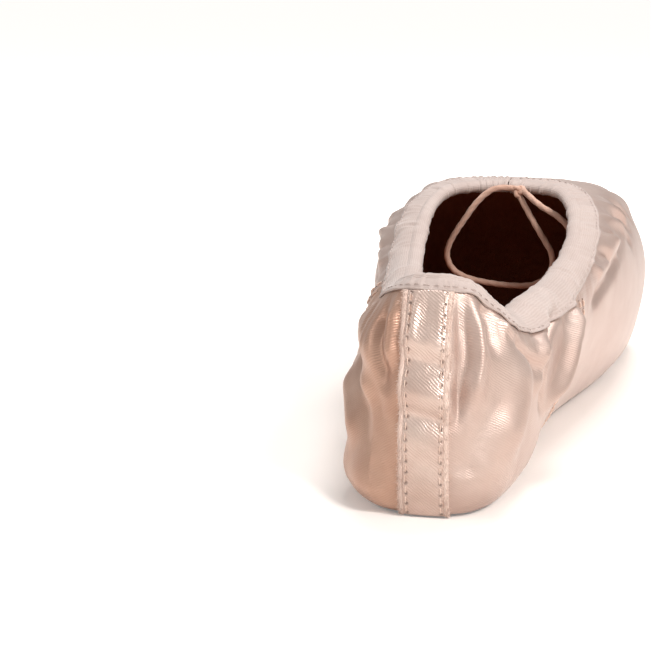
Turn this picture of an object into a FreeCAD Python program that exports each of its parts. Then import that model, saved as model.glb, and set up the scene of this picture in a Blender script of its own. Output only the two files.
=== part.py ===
"""A satin pointe slipper, built from its separate cloth, card and leather pieces.

Frame: +Y toward the toe, +X to the wearer's right, +Z up, origin under the middle of the slipper on the floor.
Every curved piece is a sheet laid on one base surface, the outside of the satin. A point of a sheet is
S(u, v) + d * n(u, v), where u runs round the slipper (0 at the heel, 10 at the toe), v runs up it from the
margin under the sole to the rim of the opening, and d is the depth: positive inside, negative outside.
"""
import FreeCAD, Part
import math
import os

os.makedirs("parts", exist_ok=True)
V = FreeCAD.Vector

# ---- overall sizes, mm ----
LENGTH = 236.0
HEEL_HALF = 22.5          # half width at the heel cup
WAIST_HALF = 28.0
SEAM_HALF = 30.5          # half width at the side seams
WING_HALF = 37.0
BALL_HALF = 42.5
BOX_HALF = 43.5           # half width of the hard toe box
BOX_CORNER_HALF = 42.0
TIP_HALF = 29.0           # half width of the toe platform
HEEL_RIM = 57.0           # height of the satin's rim at the heel
WAIST_RIM = 44.5          # its lowest point, at the sides
THROAT_RIM = 62.5         # its height at the throat, over the instep
BOX_HEIGHT = 44.5         # height of the widest ring of the toe box
PLATFORM = 36.0           # and of the flat tip a dancer stands on

# ---- places along the slipper, from the back of the heel, mm ----
HEEL_SIDE_Y = 20.0
WAIST_Y = 48.0
SEAM_Y = 87.0
WING_Y = 112.0
BALL_Y = 145.0
BOX_Y = 178.0
THROAT_Y = 150.0
BOX_CORNER = 22.0         # from the tip back to the box's corner
TIP_ROUND = 3.0           # how far the platform bulges

# ---- materials' thicknesses and fits, mm ----
SATIN = 0.6
LINING = 0.8
BOX_WALL = 2.6            # pasted layers of the toe box at the platform
TAPE = 0.5                # heel strip and drawstring casing
GLUE = 0.1                # paste or air between two pieces of one body
RUNNING = 0.3             # air between the front and the heel
BINDING_DROP = 9.0        # how far the casing reaches down outside
BINDING_INSIDE = 7.0      # and down inside
STRIP_HALF = 4.8          # half width of the heel strip between its folded edges
STRIP_FOLD = 1.8          # width of each folded edge
FOLD_TALL = 1.0           # height of a folded edge
THREAD = 0.45             # width of sewing thread
STITCH_TALL = 0.3         # how far thread stands off the cloth
CORD_R = 0.95             # drawstring radius
OUTSOLE_THICK = 1.8
OUTSOLE_INSET = 6.0       # from the satin's turned edge in to the leather sole
MARGIN = 9.0              # satin turned under the sole
PLEATS = 1.8              # depth of its pasted pleats over the leather sole
EDGE_LOW = -4.2           # pole height that rounds the satin down to the floor
LOWER_WALL = 13.0         # pole height of the wall's lower bulge
LOWER_TUCK = 0.6          # share of the sole edge's tuck that the bulge takes
LEAN = 6.0                # how far the soft back leans over its own height
BOARD = 1.2               # insole board
SHANK = 2.2
SHANK_HALF = 13.0
SOCK = 0.8                # sock liner
HEEL_PAD = 1.4
FILLER_HALF = 4.5
NAIL_R = 0.8

HEEL_Y = -LENGTH / 2


def along(y):
    """The frame's Y of a place measured from the back of the heel."""
    return HEEL_Y + y


# ---- the base surface ----
# One row per station, heel to toe: half width, y, how far the sole edge tucks in, the height of the wall's
# widest ring, and the rim's x, y and z.
STATIONS = [
    (0.0, 0.0, 3.0, 43.0, 0.0, 9.5, HEEL_RIM),
    (14.0, 2.0, 3.5, 42.0, 8.0, 11.5, HEEL_RIM - 0.5),
    (HEEL_HALF, HEEL_SIDE_Y, 4.5, 38.0, 13.5, 25.0, HEEL_RIM - 5.5),
    (WAIST_HALF, WAIST_Y, 9.0, 34.0, 17.5, 50.0, WAIST_RIM),
    (SEAM_HALF, SEAM_Y, 12.5, 35.0, 20.0, SEAM_Y, WAIST_RIM + 1.5),
    (WING_HALF, WING_Y, 17.0, 41.0, 21.5, 107.0, THROAT_RIM - 10.0),
    (BALL_HALF, BALL_Y, 16.0, 44.0, 20.5, THROAT_Y - 21.0, THROAT_RIM - 3.5),
    (BOX_HALF, BOX_Y, 13.0, BOX_HEIGHT, 16.0, THROAT_Y - 8.0, THROAT_RIM - 0.5),
    (BOX_CORNER_HALF, LENGTH - BOX_CORNER, 8.0, BOX_HEIGHT - 1.5, 10.0, THROAT_Y - 3.0, THROAT_RIM),
    (TIP_HALF, LENGTH - TIP_ROUND, 3.5, PLATFORM, 5.0, THROAT_Y - 0.5, THROAT_RIM),
    (0.0, LENGTH, 2.5, PLATFORM, 0.0, THROAT_Y, THROAT_RIM),
]
HALF = len(STATIONS) - 1
AROUND = 2 * HALF
HEEL, SEAM_RIGHT, TOE, SEAM_LEFT = 0, 4, HALF, AROUND - 4
ROWS = 7
TOP = ROWS - 3            # v at the rim


def station(i):
    """Station i of the whole ring, the left half mirrored from the right: plan, tuck, wall height and rim."""
    i = i % AROUND
    side = 1.0 if i <= HALF else -1.0
    half, y, tuck, wall, rim_x, rim_y, rim_z = STATIONS[min(i, AROUND - i)]
    return V(side * half, along(y), 0), tuck, wall, V(side * rim_x, along(rim_y), rim_z)


def inward(i):
    """The unit vector into the slipper at station i, square to the outline in plan."""
    step = station(i + 1)[0] - station(i - 1)[0]
    return V(-step.y, step.x, 0).normalize()


def smooth(t):
    """0 below 0, 1 above 1 and 3t^2 - 2t^3 between."""
    t = min(max(t, 0.0), 1.0)
    return t * t * (3 - 2 * t)


def lean(point):
    """The soft sides behind the box lean to the right: their rim moves over and their sole the other way."""
    sides = smooth((point.y - along(0)) / WAIST_Y)
    back = 1 - smooth((point.y - along(SEAM_Y)) / (BALL_Y - SEAM_Y))
    return point + V(LEAN * sides * back * (point.z / HEEL_RIM - 0.45), 0, 0)


def pole_column(i):
    """The poles at one station: margin, tuck, sole edge, lower wall, upper wall, shoulder and rim."""
    plan, tuck, wall, rim = station(i)
    into = inward(i)

    def ring(inset, z):
        return plan + into * inset + V(0, 0, z)

    upper = ring(0.3, wall)
    shoulder = upper * 0.4 + rim * 0.6
    reach = math.hypot(rim.x - upper.x, rim.y - upper.y)
    shoulder.z = 0.1 * upper.z + 0.9 * rim.z + 0.06 * reach
    lie = OUTSOLE_THICK + PLEATS
    rows = [ring(tuck + MARGIN, lie), ring(tuck + 0.6 * MARGIN, lie), ring(tuck, EDGE_LOW),
            ring(LOWER_TUCK * tuck - 2.0, LOWER_WALL), upper, shoulder, rim]
    return [lean(pole) for pole in rows]


def base_surface():
    """S(u, v): periodic and evenly knotted round the slipper, clamped from margin to rim, cubic both ways."""
    poles = [pole_column(i - 1) for i in range(AROUND)]
    surface = Part.BSplineSurface()
    surface.buildFromPolesMultsKnots(
        poles, [1] * (AROUND + 1), [4] + [1] * (ROWS - 4) + [4],
        [float(k) for k in range(AROUND + 1)], [float(k) for k in range(ROWS - 2)],
        True, False, 3, 3)
    return surface


BASE = base_surface()


def place(u, v, depth=0.0):
    """A point of the base surface moved in by depth along its normal."""
    u = u % AROUND
    point = BASE.value(u, v)
    return point - BASE.normal(u, v) * depth


def speed(u, v):
    """Millimetres round the slipper per unit of u."""
    return (place(u + 0.01, v) - place(u - 0.01, v)).Length / 0.02


def solve(value, target, low, high):
    """The argument between low and high where a rising function reaches the target, by halving."""
    for _ in range(40):
        middle = (low + high) / 2
        if value(middle) < target:
            low = middle
        else:
            high = middle
    return (low + high) / 2


def below_rim(u, drop):
    """The v that lies a given distance below the rim."""
    rim = place(u, TOP)
    return solve(lambda v: -(place(u, v) - rim).Length, -drop, TOP - 2.0, TOP)


def beside_heel(x, v):
    """The u near the heel where the base surface is x to the right of the middle."""
    return solve(lambda u: place(u, v).x, x, -2.0, 2.0)


# ---- ways to make a solid ----
def through(points):
    """A smooth curve through evenly timed points."""
    curve = Part.BSplineCurve()
    curve.interpolate(Points=points, Parameters=[k / (len(points) - 1) for k in range(len(points))])
    return curve


def smooth_surface(point, s_steps, t_steps):
    """A smooth surface through the points point(s, t), with s and t from 0 to 1."""
    grid = [[point(i / s_steps, j / t_steps) for j in range(t_steps + 1)] for i in range(s_steps + 1)]
    rows = [through(row) for row in grid]
    columns = [through(list(poles)) for poles in zip(*[row.getPoles() for row in rows])]
    surface = Part.BSplineSurface()
    surface.buildFromPolesMultsKnots(
        [list(poles) for poles in zip(*[column.getPoles() for column in columns])],
        columns[0].getMultiplicities(), rows[0].getMultiplicities(),
        columns[0].getKnots(), rows[0].getKnots(), False, False, 3, 3)
    return surface


def strip(a, b):
    """The ruled surface between two curves that share their knots."""
    surface = Part.BSplineSurface()
    surface.buildFromPolesMultsKnots(
        [a.getPoles(), b.getPoles()], [2, 2], a.getMultiplicities(), [0.0, 1.0], a.getKnots(), False, False, 1, 3)
    return surface.toShape()


def slab(top, under, s_steps, t_steps):
    """The solid between two surfaces of the same grid, closed by ruled strips along their edges."""
    upper = smooth_surface(top, s_steps, t_steps)
    lower = smooth_surface(under, s_steps, t_steps)
    sides = []
    for end in (0.0, 1.0):
        sides.append(strip(upper.uIso(end), lower.uIso(end)))
        sides.append(strip(upper.vIso(end), lower.vIso(end)))
    shell = Part.makeShell([upper.toShape(), lower.toShape()] + sides)
    shell.sewShape()
    solid = Part.makeSolid(shell)
    if solid.Volume < 0:
        solid.reverse()
    return solid


def cloth(us, vs, depths, s_steps, t_steps):
    """A layer laid on the base: us(v) and vs(u) give its edges, depths(u, v) its outer and inner depth."""
    def at(s, t, which):
        middle_u = sum(us(TOP / 2)) / 2
        v_low, v_high = vs(middle_u)
        v = v_low + (v_high - v_low) * t
        u_low, u_high = us(v)
        u = u_low + (u_high - u_low) * s
        v_low, v_high = vs(u)
        v = v_low + (v_high - v_low) * t
        return place(u, v, depths(u, v)[which])
    return slab(lambda s, t: at(s, t, 0), lambda s, t: at(s, t, 1), s_steps, t_steps)


def plate(points, z, thick):
    """A flat plate of a smooth closed outline."""
    curve = Part.BSplineCurve()
    curve.interpolate(Points=[V(p.x, p.y, z) for p in points], PeriodicFlag=True)
    wire = Part.Wire(curve.toShape())
    return Part.Face(wire).extrude(V(0, 0, thick))


def tube(points, radius, name):
    """A cord: straight runs joined by arcs as large as their runs allow."""
    edges = []
    start = points[0]
    radii = []
    for before, corner, after in zip(points, points[1:], points[2:]):
        back, on = before - corner, after - corner
        reach = 0.45 * min(back.Length, on.Length)
        half_turn = (math.pi - back.getAngle(on)) / 2
        radii.append(reach / math.tan(half_turn))
        back.normalize()
        on.normalize()
        first, last = corner + back * reach, corner + on * reach
        middle_way = (back + on).normalize()
        centre = corner + middle_way * (radii[-1] / math.cos(half_turn))
        edges.append(Part.LineSegment(start, first).toShape())
        edges.append(Part.Arc(first, centre - middle_way * radii[-1], last).toShape())
        start = last
    edges.append(Part.LineSegment(start, points[-1]).toShape())
    path = Part.Wire(edges)
    way = (points[1] - points[0]).normalize()
    section = Part.Wire(Part.makeCircle(radius, points[0], way))
    solid = path.makePipeShell([section], True, False)
    ratio = solid.Volume / (math.pi * radius ** 2 * path.Length)
    print(name, "length", round(path.Length, 1), "radii", [round(r, 1) for r in radii], "volume", round(ratio, 3))
    return solid


def save(name, shape):
    assert shape.isValid() and shape.Volume > 0, name
    shape.exportStep("parts/" + name + ".step")


# ---- depths of the layers ----
UNDER_SATIN = SATIN + GLUE
LINED = UNDER_SATIN + LINING


def box_wall(u):
    """How much of the box's thickness is there, round the slipper: none at the seams, all at the toe."""
    return smooth((HALF - abs(u - TOE) - WING_START) / WING_RUN)


WING_START = SEAM_RIGHT + 0.3      # u where the pasted wings begin
WING_RUN = 2.7                     # units of u in which they reach full thickness
BOX_TOP = 3.5                      # v where the paste ends below the rim
BOX_FADE = 0.9


def box_depth(u, v):
    return BOX_WALL * box_wall(u) * smooth((BOX_TOP - v) / BOX_FADE)


# ---- satin ----


def seam_edge(seam, side, v, gap=RUNNING / 2):
    """The u beside a seam, side +1 toward larger u."""
    return seam + side * gap / speed(seam, v)


def satin():
    full = lambda u: (0.0, TOP)
    skin = lambda u, v: (0.0, SATIN)
    save("vamp_satin", cloth(
        lambda v: (seam_edge(SEAM_RIGHT, 1, v), seam_edge(SEAM_LEFT, -1, v)), full, skin, 64, 30))
    save("quarter_satin_right", cloth(
        lambda v: (seam_edge(HEEL, 1, v, GLUE), seam_edge(SEAM_RIGHT, -1, v)), full, skin, 24, 24))
    save("quarter_satin_left", cloth(
        lambda v: (seam_edge(SEAM_LEFT, 1, v), seam_edge(AROUND, -1, v, GLUE)), full, skin, 24, 24))


# ---- linings and the pasted toe box ----
LINING_START = 1.3        # v where the lining begins, at the edge of the insole
BOX_START = 1.35
BOX_END = 3.1
WING_END = 1.4            # units of u from the side seams to the ends of the box's wings


def linings():
    reach = lambda u: (LINING_START, TOP)
    plain = lambda u, v: (UNDER_SATIN, LINED)
    inside_box = lambda u, v: (
        UNDER_SATIN + box_depth(u, v) + GLUE, LINED + box_depth(u, v) + GLUE)
    save("vamp_lining", cloth(
        lambda v: (seam_edge(SEAM_RIGHT, 1, v), seam_edge(SEAM_LEFT, -1, v)), reach, inside_box, 64, 30))
    save("quarter_lining_right", cloth(
        lambda v: (seam_edge(HEEL, 1, v, GLUE), seam_edge(SEAM_RIGHT, -1, v)), reach, plain, 24, 24))
    save("quarter_lining_left", cloth(
        lambda v: (seam_edge(SEAM_LEFT, 1, v), seam_edge(AROUND, -1, v, GLUE)), reach, plain, 24, 24))
    save("toe_box", cloth(
        lambda v: (SEAM_RIGHT + WING_END, SEAM_LEFT - WING_END), lambda u: (BOX_START, BOX_END),
        lambda u, v: (UNDER_SATIN, UNDER_SATIN + box_depth(u, v)), 48, 20))


# ---- heel strip ----
STRIP_START = 1.2         # v where it begins under the heel
STRIP_TOP = BINDING_DROP + GLUE


def beside_strip(x_low, x_high, low, high, name):
    """A band up the heel between two distances from its middle, between two depths outside the satin."""
    save(name, cloth(
        lambda v: (beside_heel(x_low, v), beside_heel(x_high, v)),
        lambda u: (STRIP_START, below_rim(u, STRIP_TOP)),
        lambda u, v: (-high, -low), 6, 24))


def heel_strip():
    fold = STRIP_HALF + GLUE
    stitch = STRIP_HALF - 0.35
    on_strip = 2 * GLUE + TAPE
    beside_strip(-STRIP_HALF, STRIP_HALF, GLUE, GLUE + TAPE, "heel_strip")
    for side, word in ((1, "right"), (-1, "left")):
        x_low, x_high = sorted((side * fold, side * (fold + STRIP_FOLD)))
        beside_strip(x_low, x_high, GLUE, GLUE + FOLD_TALL, "heel_strip_fold_" + word)
        x_low, x_high = sorted((side * (stitch - THREAD), side * stitch))
        beside_strip(x_low, x_high, on_strip, on_strip + STITCH_TALL, "heel_strip_stitching_" + word)


# ---- side seam stitching, a row on each side of each seam ----
SEAM_ROW = 1.6


def seam_stitching():
    for seam, word in ((SEAM_RIGHT, "right"), (SEAM_LEFT, "left")):
        for panel, side in (("vamp", 1), ("quarter", -1)):
            way = side if seam == SEAM_RIGHT else -side

            def band(v, seam=seam, way=way):
                rate = speed(seam, v)
                return tuple(sorted((seam + way * SEAM_ROW / rate, seam + way * (SEAM_ROW + THREAD) / rate)))
            save("side_seam_stitching_" + word + "_" + panel, cloth(
                band, lambda u: (1.1, below_rim(u, STRIP_TOP)),
                lambda u, v: (-GLUE - STITCH_TALL, -GLUE), 3, 20))


# ---- the drawstring and its casing ----
CASING_EASE = 0.25        # slack between its inside leg and the lining
CASING_RISE = 1.6         # from the satin's rim up to the middle of the drawstring
CASING_WIDE = CORD_R + 0.4   # half the room inside the casing, across
CASING_TALL = CORD_R + 0.5   # and from its middle to its top
THROAT_GAP = 0.05         # half the gap between the casing's two ends at the throat, in u
CORD_DEPTH = LINED / 2


def casing_point(u, t, out):
    """A point round the casing's U, from its outside hem (t 0) over the rim to its inside hem (t 1)."""
    outside, over = 6 / 16, 10 / 16
    rim, up = place(u, TOP), (place(u, TOP) - place(u, TOP - 0.05)).normalize()
    n = BASE.normal(u % AROUND, TOP)
    if t < outside:
        v = below_rim(u, BINDING_DROP * (1 - t / outside)) if t < outside - 1e-6 else TOP
        return place(u, v, -GLUE - out)
    if t > over:
        v = below_rim(u, BINDING_INSIDE * (t - over) / (1 - over))
        return place(u, v, LINED + box_depth(u, v) + CASING_EASE + out)
    turn = math.pi * (t - outside) / (over - outside)
    across = -math.cos(turn) * (CASING_WIDE + out)
    rise = math.sin(turn) * (CASING_RISE + CASING_TALL + out)
    return rim - n * (CORD_DEPTH + across) + up * rise


def casing():
    low, high = TOE + THROAT_GAP, TOE + AROUND - THROAT_GAP
    u_at = lambda s: low + (high - low) * s
    save("binding", slab(
        lambda s, t: casing_point(u_at(s), t, TAPE), lambda s, t: casing_point(u_at(s), t, 0.0), 128, 16))

    def round_cord(s, angle):
        u = TOE + 2 * THROAT_GAP + (AROUND - 4 * THROAT_GAP) * s
        rim, up = place(u, TOP), (place(u, TOP) - place(u, TOP - 0.05)).normalize()
        n = BASE.normal(u % AROUND, TOP)
        centre = rim - n * CORD_DEPTH + up * CASING_RISE
        return centre + n * (CORD_R * math.cos(angle)) + up * (CORD_R * math.sin(angle))
    edge = math.radians(12)
    span = math.pi - 2 * edge
    save("drawstring", slab(
        lambda s, t: round_cord(s, edge + span * t), lambda s, t: round_cord(s, -edge - span * t), 96, 6))

    row = BINDING_DROP - 1.2

    def stitch(s, t, depth):
        u = u_at(s)
        return place(u, below_rim(u, row + THREAD * t), depth)
    on_tape = 2 * GLUE + TAPE
    save("binding_stitching", slab(
        lambda s, t: stitch(s, t, -on_tape - STITCH_TALL), lambda s, t: stitch(s, t, -on_tape), 96, 3))


# ---- the loose drawstring, tied at the throat ----
KNOT_R = 1.8
KNOT = V(3.6, along(THROAT_Y - 6.2), THROAT_RIM - CASING_RISE)
# The loop hangs inside the throat: out to the left, down, across and back up to the knot. Each point is x to the
# right, y forward and z up from the knot, as the cord lies.
LOOP = [
    (-1.5, -0.2, 1.0), (-5.6, -1.8, 1.6), (-9.3, -2.8, -0.1), (-12.9, -3.3, -3.9), (-15.6, -3.3, -8.0),
    (-18.5, -2.8, -12.2), (-21.0, -1.8, -16.7), (-21.9, -0.8, -20.5), (-20.4, 0.2, -24.6), (-16.6, 0.7, -27.2),
    (-11.0, 1.0, -28.5), (-5.4, 1.1, -29.2), (0.2, 0.9, -29.4), (5.2, 0.6, -28.9), (9.0, 0.1, -26.6),
    (11.0, -0.8, -22.8), (10.9, -1.4, -18.5), (8.2, -1.5, -14.2), (5.6, -1.2, -10.1), (3.0, -0.6, -5.9),
    (0.4, 0.2, -1.6)]
# The loose end crosses under the right side of the casing.
LOOSE_END = [
    (1.6, -0.6, 0.4), (4.6, -2.9, -1.9), (8.3, -4.5, -4.3), (12.4, -5.2, -6.2), (16.0, -5.6, -9.4),
    (18.2, -5.6, -13.8), (18.9, -5.2, -18.6), (18.0, -4.6, -23.4)]


def loose_drawstring():
    save("drawstring_knot", Part.makeSphere(KNOT_R, KNOT))
    save("drawstring_loop", tube([KNOT + V(*offset) for offset in LOOP], CORD_R, "drawstring_loop"))
    save("drawstring_end", tube([KNOT + V(*offset) for offset in LOOSE_END], CORD_R, "drawstring_end"))


# ---- the sole ----
def outline_at(z, clear):
    """Points of the room inside the linings at a height, less a clearance."""
    points = []
    for k in range(4 * AROUND):
        u = k / 4
        depth = lambda v: LINED + GLUE + box_depth(u, v) + clear
        v = solve(lambda v: place(u, v, depth(v)).z, z, 1.0, 2.6)
        points.append(place(u, v, depth(v)))
    return points


BOARD_Z = OUTSOLE_THICK + PLEATS + SATIN + 2 * GLUE
SHANK_Z = BOARD_Z + BOARD + GLUE
SOCK_Z = SHANK_Z + SHANK + GLUE
PAD_Z = SOCK_Z + SOCK + GLUE
SOLE_CLEAR = 0.3
SHANK_START = 9.0
SHANK_END = 160.0
FILLER_START = 42.0
FILLER_END = 128.0
PAD_END = 62.0
NAIL_Y = 26.0
NAIL_HEAD_R = 2.0
NAIL_HEAD = 0.7
OUTSOLE_TIP = 5.0         # extra inset at the tip
SOLE_EDGE = 1.0           # v of the ring where the satin turns under


def rounded_bar(half, y_start, y_end, z, thick):
    """A strip with half-round ends."""
    low, high = along(y_start) + half, along(y_end) - half
    a, b, c, d = V(half, low, z), V(half, high, z), V(-half, high, z), V(-half, low, z)
    wire = Part.Wire([
        Part.LineSegment(a, b).toShape(), Part.Arc(b, V(0, high + half, z), c).toShape(),
        Part.LineSegment(c, d).toShape(), Part.Arc(d, V(0, low - half, z), a).toShape()])
    return Part.Face(wire).extrude(V(0, 0, thick))


def sole():
    points = []
    for k in range(2 * AROUND):
        edge = place(k / 2, SOLE_EDGE)
        run = place(k / 2 + 0.05, SOLE_EDGE) - place(k / 2 - 0.05, SOLE_EDGE)
        into = V(-run.y, run.x, 0).normalize()
        tip = smooth((edge.y - along(LENGTH - 30)) / 30)
        points.append(edge + into * (OUTSOLE_INSET + OUTSOLE_TIP * tip))
    save("outsole", plate(points, 0.0, OUTSOLE_THICK))
    nail_at = V(0, along(NAIL_Y), 0)
    hole = Part.makeCylinder(NAIL_R + GLUE, SOCK_Z, nail_at)
    save("insole_board", plate(outline_at(BOARD_Z, SOLE_CLEAR), BOARD_Z, BOARD).cut(hole))
    seat = Part.makeCylinder(NAIL_HEAD_R + GLUE, NAIL_HEAD + GLUE, nail_at + V(0, 0, SOCK_Z - GLUE - NAIL_HEAD - GLUE))
    shank = rounded_bar(SHANK_HALF, SHANK_START, SHANK_END, SHANK_Z, SHANK)
    save("shank", shank.cut(hole).cut(seat))
    top = SOCK_Z - GLUE
    stem = Part.makeCylinder(NAIL_R, top - NAIL_HEAD - BOARD_Z, nail_at + V(0, 0, BOARD_Z))
    head = Part.makeCylinder(NAIL_HEAD_R, NAIL_HEAD, nail_at + V(0, 0, top - NAIL_HEAD))
    save("shank_nail", stem.fuse(head).removeSplitter())
    save("arch_filler", rounded_bar(
        FILLER_HALF, FILLER_START, FILLER_END, OUTSOLE_THICK + GLUE, BOARD_Z - OUTSOLE_THICK - 2 * GLUE))
    save("sock_liner", plate(outline_at(SOCK_Z, SOLE_CLEAR), SOCK_Z, SOCK))
    pad = plate(outline_at(PAD_Z, 2 * SOLE_CLEAR), PAD_Z, HEEL_PAD)
    front = Part.makeBox(4 * BOX_HALF, LENGTH, 50, V(-2 * BOX_HALF, along(PAD_END), 0))
    save("heel_pad", pad.cut(front))


satin()
linings()
heel_strip()
seam_stitching()
casing()
loose_drawstring()
sole()
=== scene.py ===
# %% [markdown]
# # A satin pointe slipper
# The slipper is cloth, card and leather laid in thin layers over one foot-shaped surface. This lesson
# builds that surface once, adds the folds that soft satin falls into, and then lays every piece on it: the
# satin panels, the drawstring casing, the heel strip, the thread, the linings and the sole. Because each
# layer asks the same surface for its place, no layer can poke through another, however deep a fold is.

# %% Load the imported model
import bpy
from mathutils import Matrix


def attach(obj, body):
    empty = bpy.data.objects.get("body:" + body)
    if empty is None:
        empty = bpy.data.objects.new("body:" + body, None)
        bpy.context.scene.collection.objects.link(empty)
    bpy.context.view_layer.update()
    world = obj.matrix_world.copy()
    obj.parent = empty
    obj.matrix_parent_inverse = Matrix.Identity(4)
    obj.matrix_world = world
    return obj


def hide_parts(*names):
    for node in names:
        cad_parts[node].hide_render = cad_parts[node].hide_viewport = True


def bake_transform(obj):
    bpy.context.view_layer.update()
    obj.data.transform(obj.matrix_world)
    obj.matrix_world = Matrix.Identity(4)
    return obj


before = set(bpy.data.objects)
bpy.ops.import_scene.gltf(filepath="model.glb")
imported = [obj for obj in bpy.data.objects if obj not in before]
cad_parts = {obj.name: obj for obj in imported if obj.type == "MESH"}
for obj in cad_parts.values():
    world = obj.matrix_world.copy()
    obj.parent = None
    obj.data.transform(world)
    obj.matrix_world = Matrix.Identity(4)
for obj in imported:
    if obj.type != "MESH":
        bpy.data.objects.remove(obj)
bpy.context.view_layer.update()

# %% Tools and units
import functools
import math

import bpy
import numpy as np

MM = 0.001
LENGTH = 236.0                                  # heel to toe, millimetres like every size below
HEEL_Y = -LENGTH / 2

# %% [markdown]
# ## The camera
# The slipper is seen from behind the heel, a little from the right and from above, through a long lens from
# half a metre away. The pitch and the turn are plain angles, so another view only needs another pair of
# numbers.

# %% Camera
EYE = (75.6, HEEL_Y - 429.4, 137.2)
TURN, PITCH = 13.0, 11.6                        # degrees to the left, and down
lens = bpy.data.cameras.new("camera")
lens.sensor_width = 36.0
lens.lens = 105.0
lens.clip_start = 0.01
camera = bpy.data.objects.new("camera", lens)
camera.location = [c * MM for c in EYE]
camera.rotation_euler = (math.radians(90.0 - PITCH), 0.0, math.radians(TURN))
bpy.context.scene.collection.objects.link(camera)
bpy.context.scene.camera = camera
print("camera at", EYE, "mm, lens", lens.lens, "mm")

# %% [markdown]
# ## Meshes from grids
# Nearly every piece is a grid of points, so three small helpers make all the meshes. `mesh_piece` puts
# points and faces into a mesh. `shell_piece` closes the space between an outer and an inner grid, like a
# piece of cloth with its real thickness. `tube_points` carries a round section along a path.

# %% Helpers that make meshes
def mesh_piece(name, points, faces, cloth=None, smooth=True):
    """An object from points in mm and quads; cloth holds each point's place on the flat cloth, in mm."""
    mesh = bpy.data.meshes.new(name)
    points = np.asarray(points, float).reshape(-1, 3) * MM
    points[:, 2] = np.maximum(points[:, 2], 0.0)        # nothing reaches below the floor
    faces = np.asarray(faces, np.int32).reshape(-1, 4)
    mesh.vertices.add(len(points))
    mesh.vertices.foreach_set("co", points.astype(np.float32).ravel())
    mesh.loops.add(faces.size)
    mesh.loops.foreach_set("vertex_index", faces.ravel())
    mesh.polygons.add(len(faces))
    mesh.polygons.foreach_set("loop_start", np.arange(0, faces.size, 4, dtype=np.int32))
    mesh.update(calc_edges=True)
    mesh.validate()
    mesh.polygons.foreach_set("use_smooth", np.full(len(mesh.polygons), smooth))
    if cloth is not None:
        flat = np.zeros((len(points), 3), np.float32)
        flat[:, :2] = np.asarray(cloth, float).reshape(-1, 2)
        layer = mesh.attributes.new("cloth", "FLOAT_VECTOR", "POINT")
        layer.data.foreach_set("vector", flat.ravel())
    piece = bpy.data.objects.new(name + "_shaped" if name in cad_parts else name, mesh)
    bpy.context.scene.collection.objects.link(piece)
    return piece


def grid_faces(rows, columns, wrap_rows=False, wrap_columns=False, first=0):
    """Quads joining neighbours of a grid whose point (i, j) has index first + i * columns + j."""
    i = np.arange(rows if wrap_rows else rows - 1)[:, None]
    j = np.arange(columns if wrap_columns else columns - 1)[None, :]
    i2, j2 = (i + 1) % rows, (j + 1) % columns
    quads = np.stack([i * columns + j, i2 * columns + j, i2 * columns + j2, i * columns + j2], -1)
    return quads.reshape(-1, 4) + first


def shell_piece(name, outer, inner, cloth):
    """A closed solid between two grids: the section runs up the outer one and back down the inner one."""
    rows, columns = outer.shape[:2]
    ring = np.concatenate([outer, inner[:, ::-1]], 1)
    flat = np.concatenate([cloth, cloth[:, ::-1]], 1)
    faces = [grid_faces(rows, 2 * columns, wrap_columns=True)]
    j = np.arange(columns - 1)
    cap = np.stack([j, j + 1, 2 * columns - 2 - j, 2 * columns - 1 - j], -1)
    faces.append(cap)
    faces.append(cap[:, ::-1] + (rows - 1) * 2 * columns)
    return mesh_piece(name, ring, np.concatenate(faces), flat)


def tube_points(path, radius, sides, across=None):
    """Round a path, `sides` points to a section, whose first axis is `across` made square to the path."""
    path = np.asarray(path, float)
    way = np.gradient(path, axis=0)
    way /= np.linalg.norm(way, axis=-1, keepdims=True)
    first = np.broadcast_to(np.array([0.31, 0.2, 0.93]) if across is None else across, path.shape)
    first = first - way * (first * way).sum(-1, keepdims=True)
    first /= np.linalg.norm(first, axis=-1, keepdims=True)
    second = np.cross(way, first)
    turn = np.arange(sides) * 2 * np.pi / sides
    radius = np.broadcast_to(np.asarray(radius, float), (len(path), sides))
    return (path[:, None] + radius[..., None] * (
        np.cos(turn)[None, :, None] * first[:, None] + np.sin(turn)[None, :, None] * second[:, None]))


def tube_faces(rows, sides, first=0):
    """Quads of a tube, its ends closed by fans of quads across the section."""
    faces = [grid_faces(rows, sides, wrap_columns=True)]
    for start, flip in ((0, False), ((rows - 1) * sides, True)):
        k = np.arange(sides // 2 - 1)
        cap = np.stack([k, sides - 1 - k, sides - 2 - k, k + 1], -1)[:, ::-1] + start
        faces.append(cap[:, ::-1] if flip else cap)
    return np.concatenate(faces) + first

# %% [markdown]
# ## The loose drawstring
# A thin cotton cord gathers the opening. Its two ends leave the casing at the throat, where they are
# knotted: one falls inside as a loop, the other slips under the right side. A free cord is a smooth curve
# through a few chosen points, so each is a NURBS spline, and its twisted strands are then carried along
# that spline.

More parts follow.
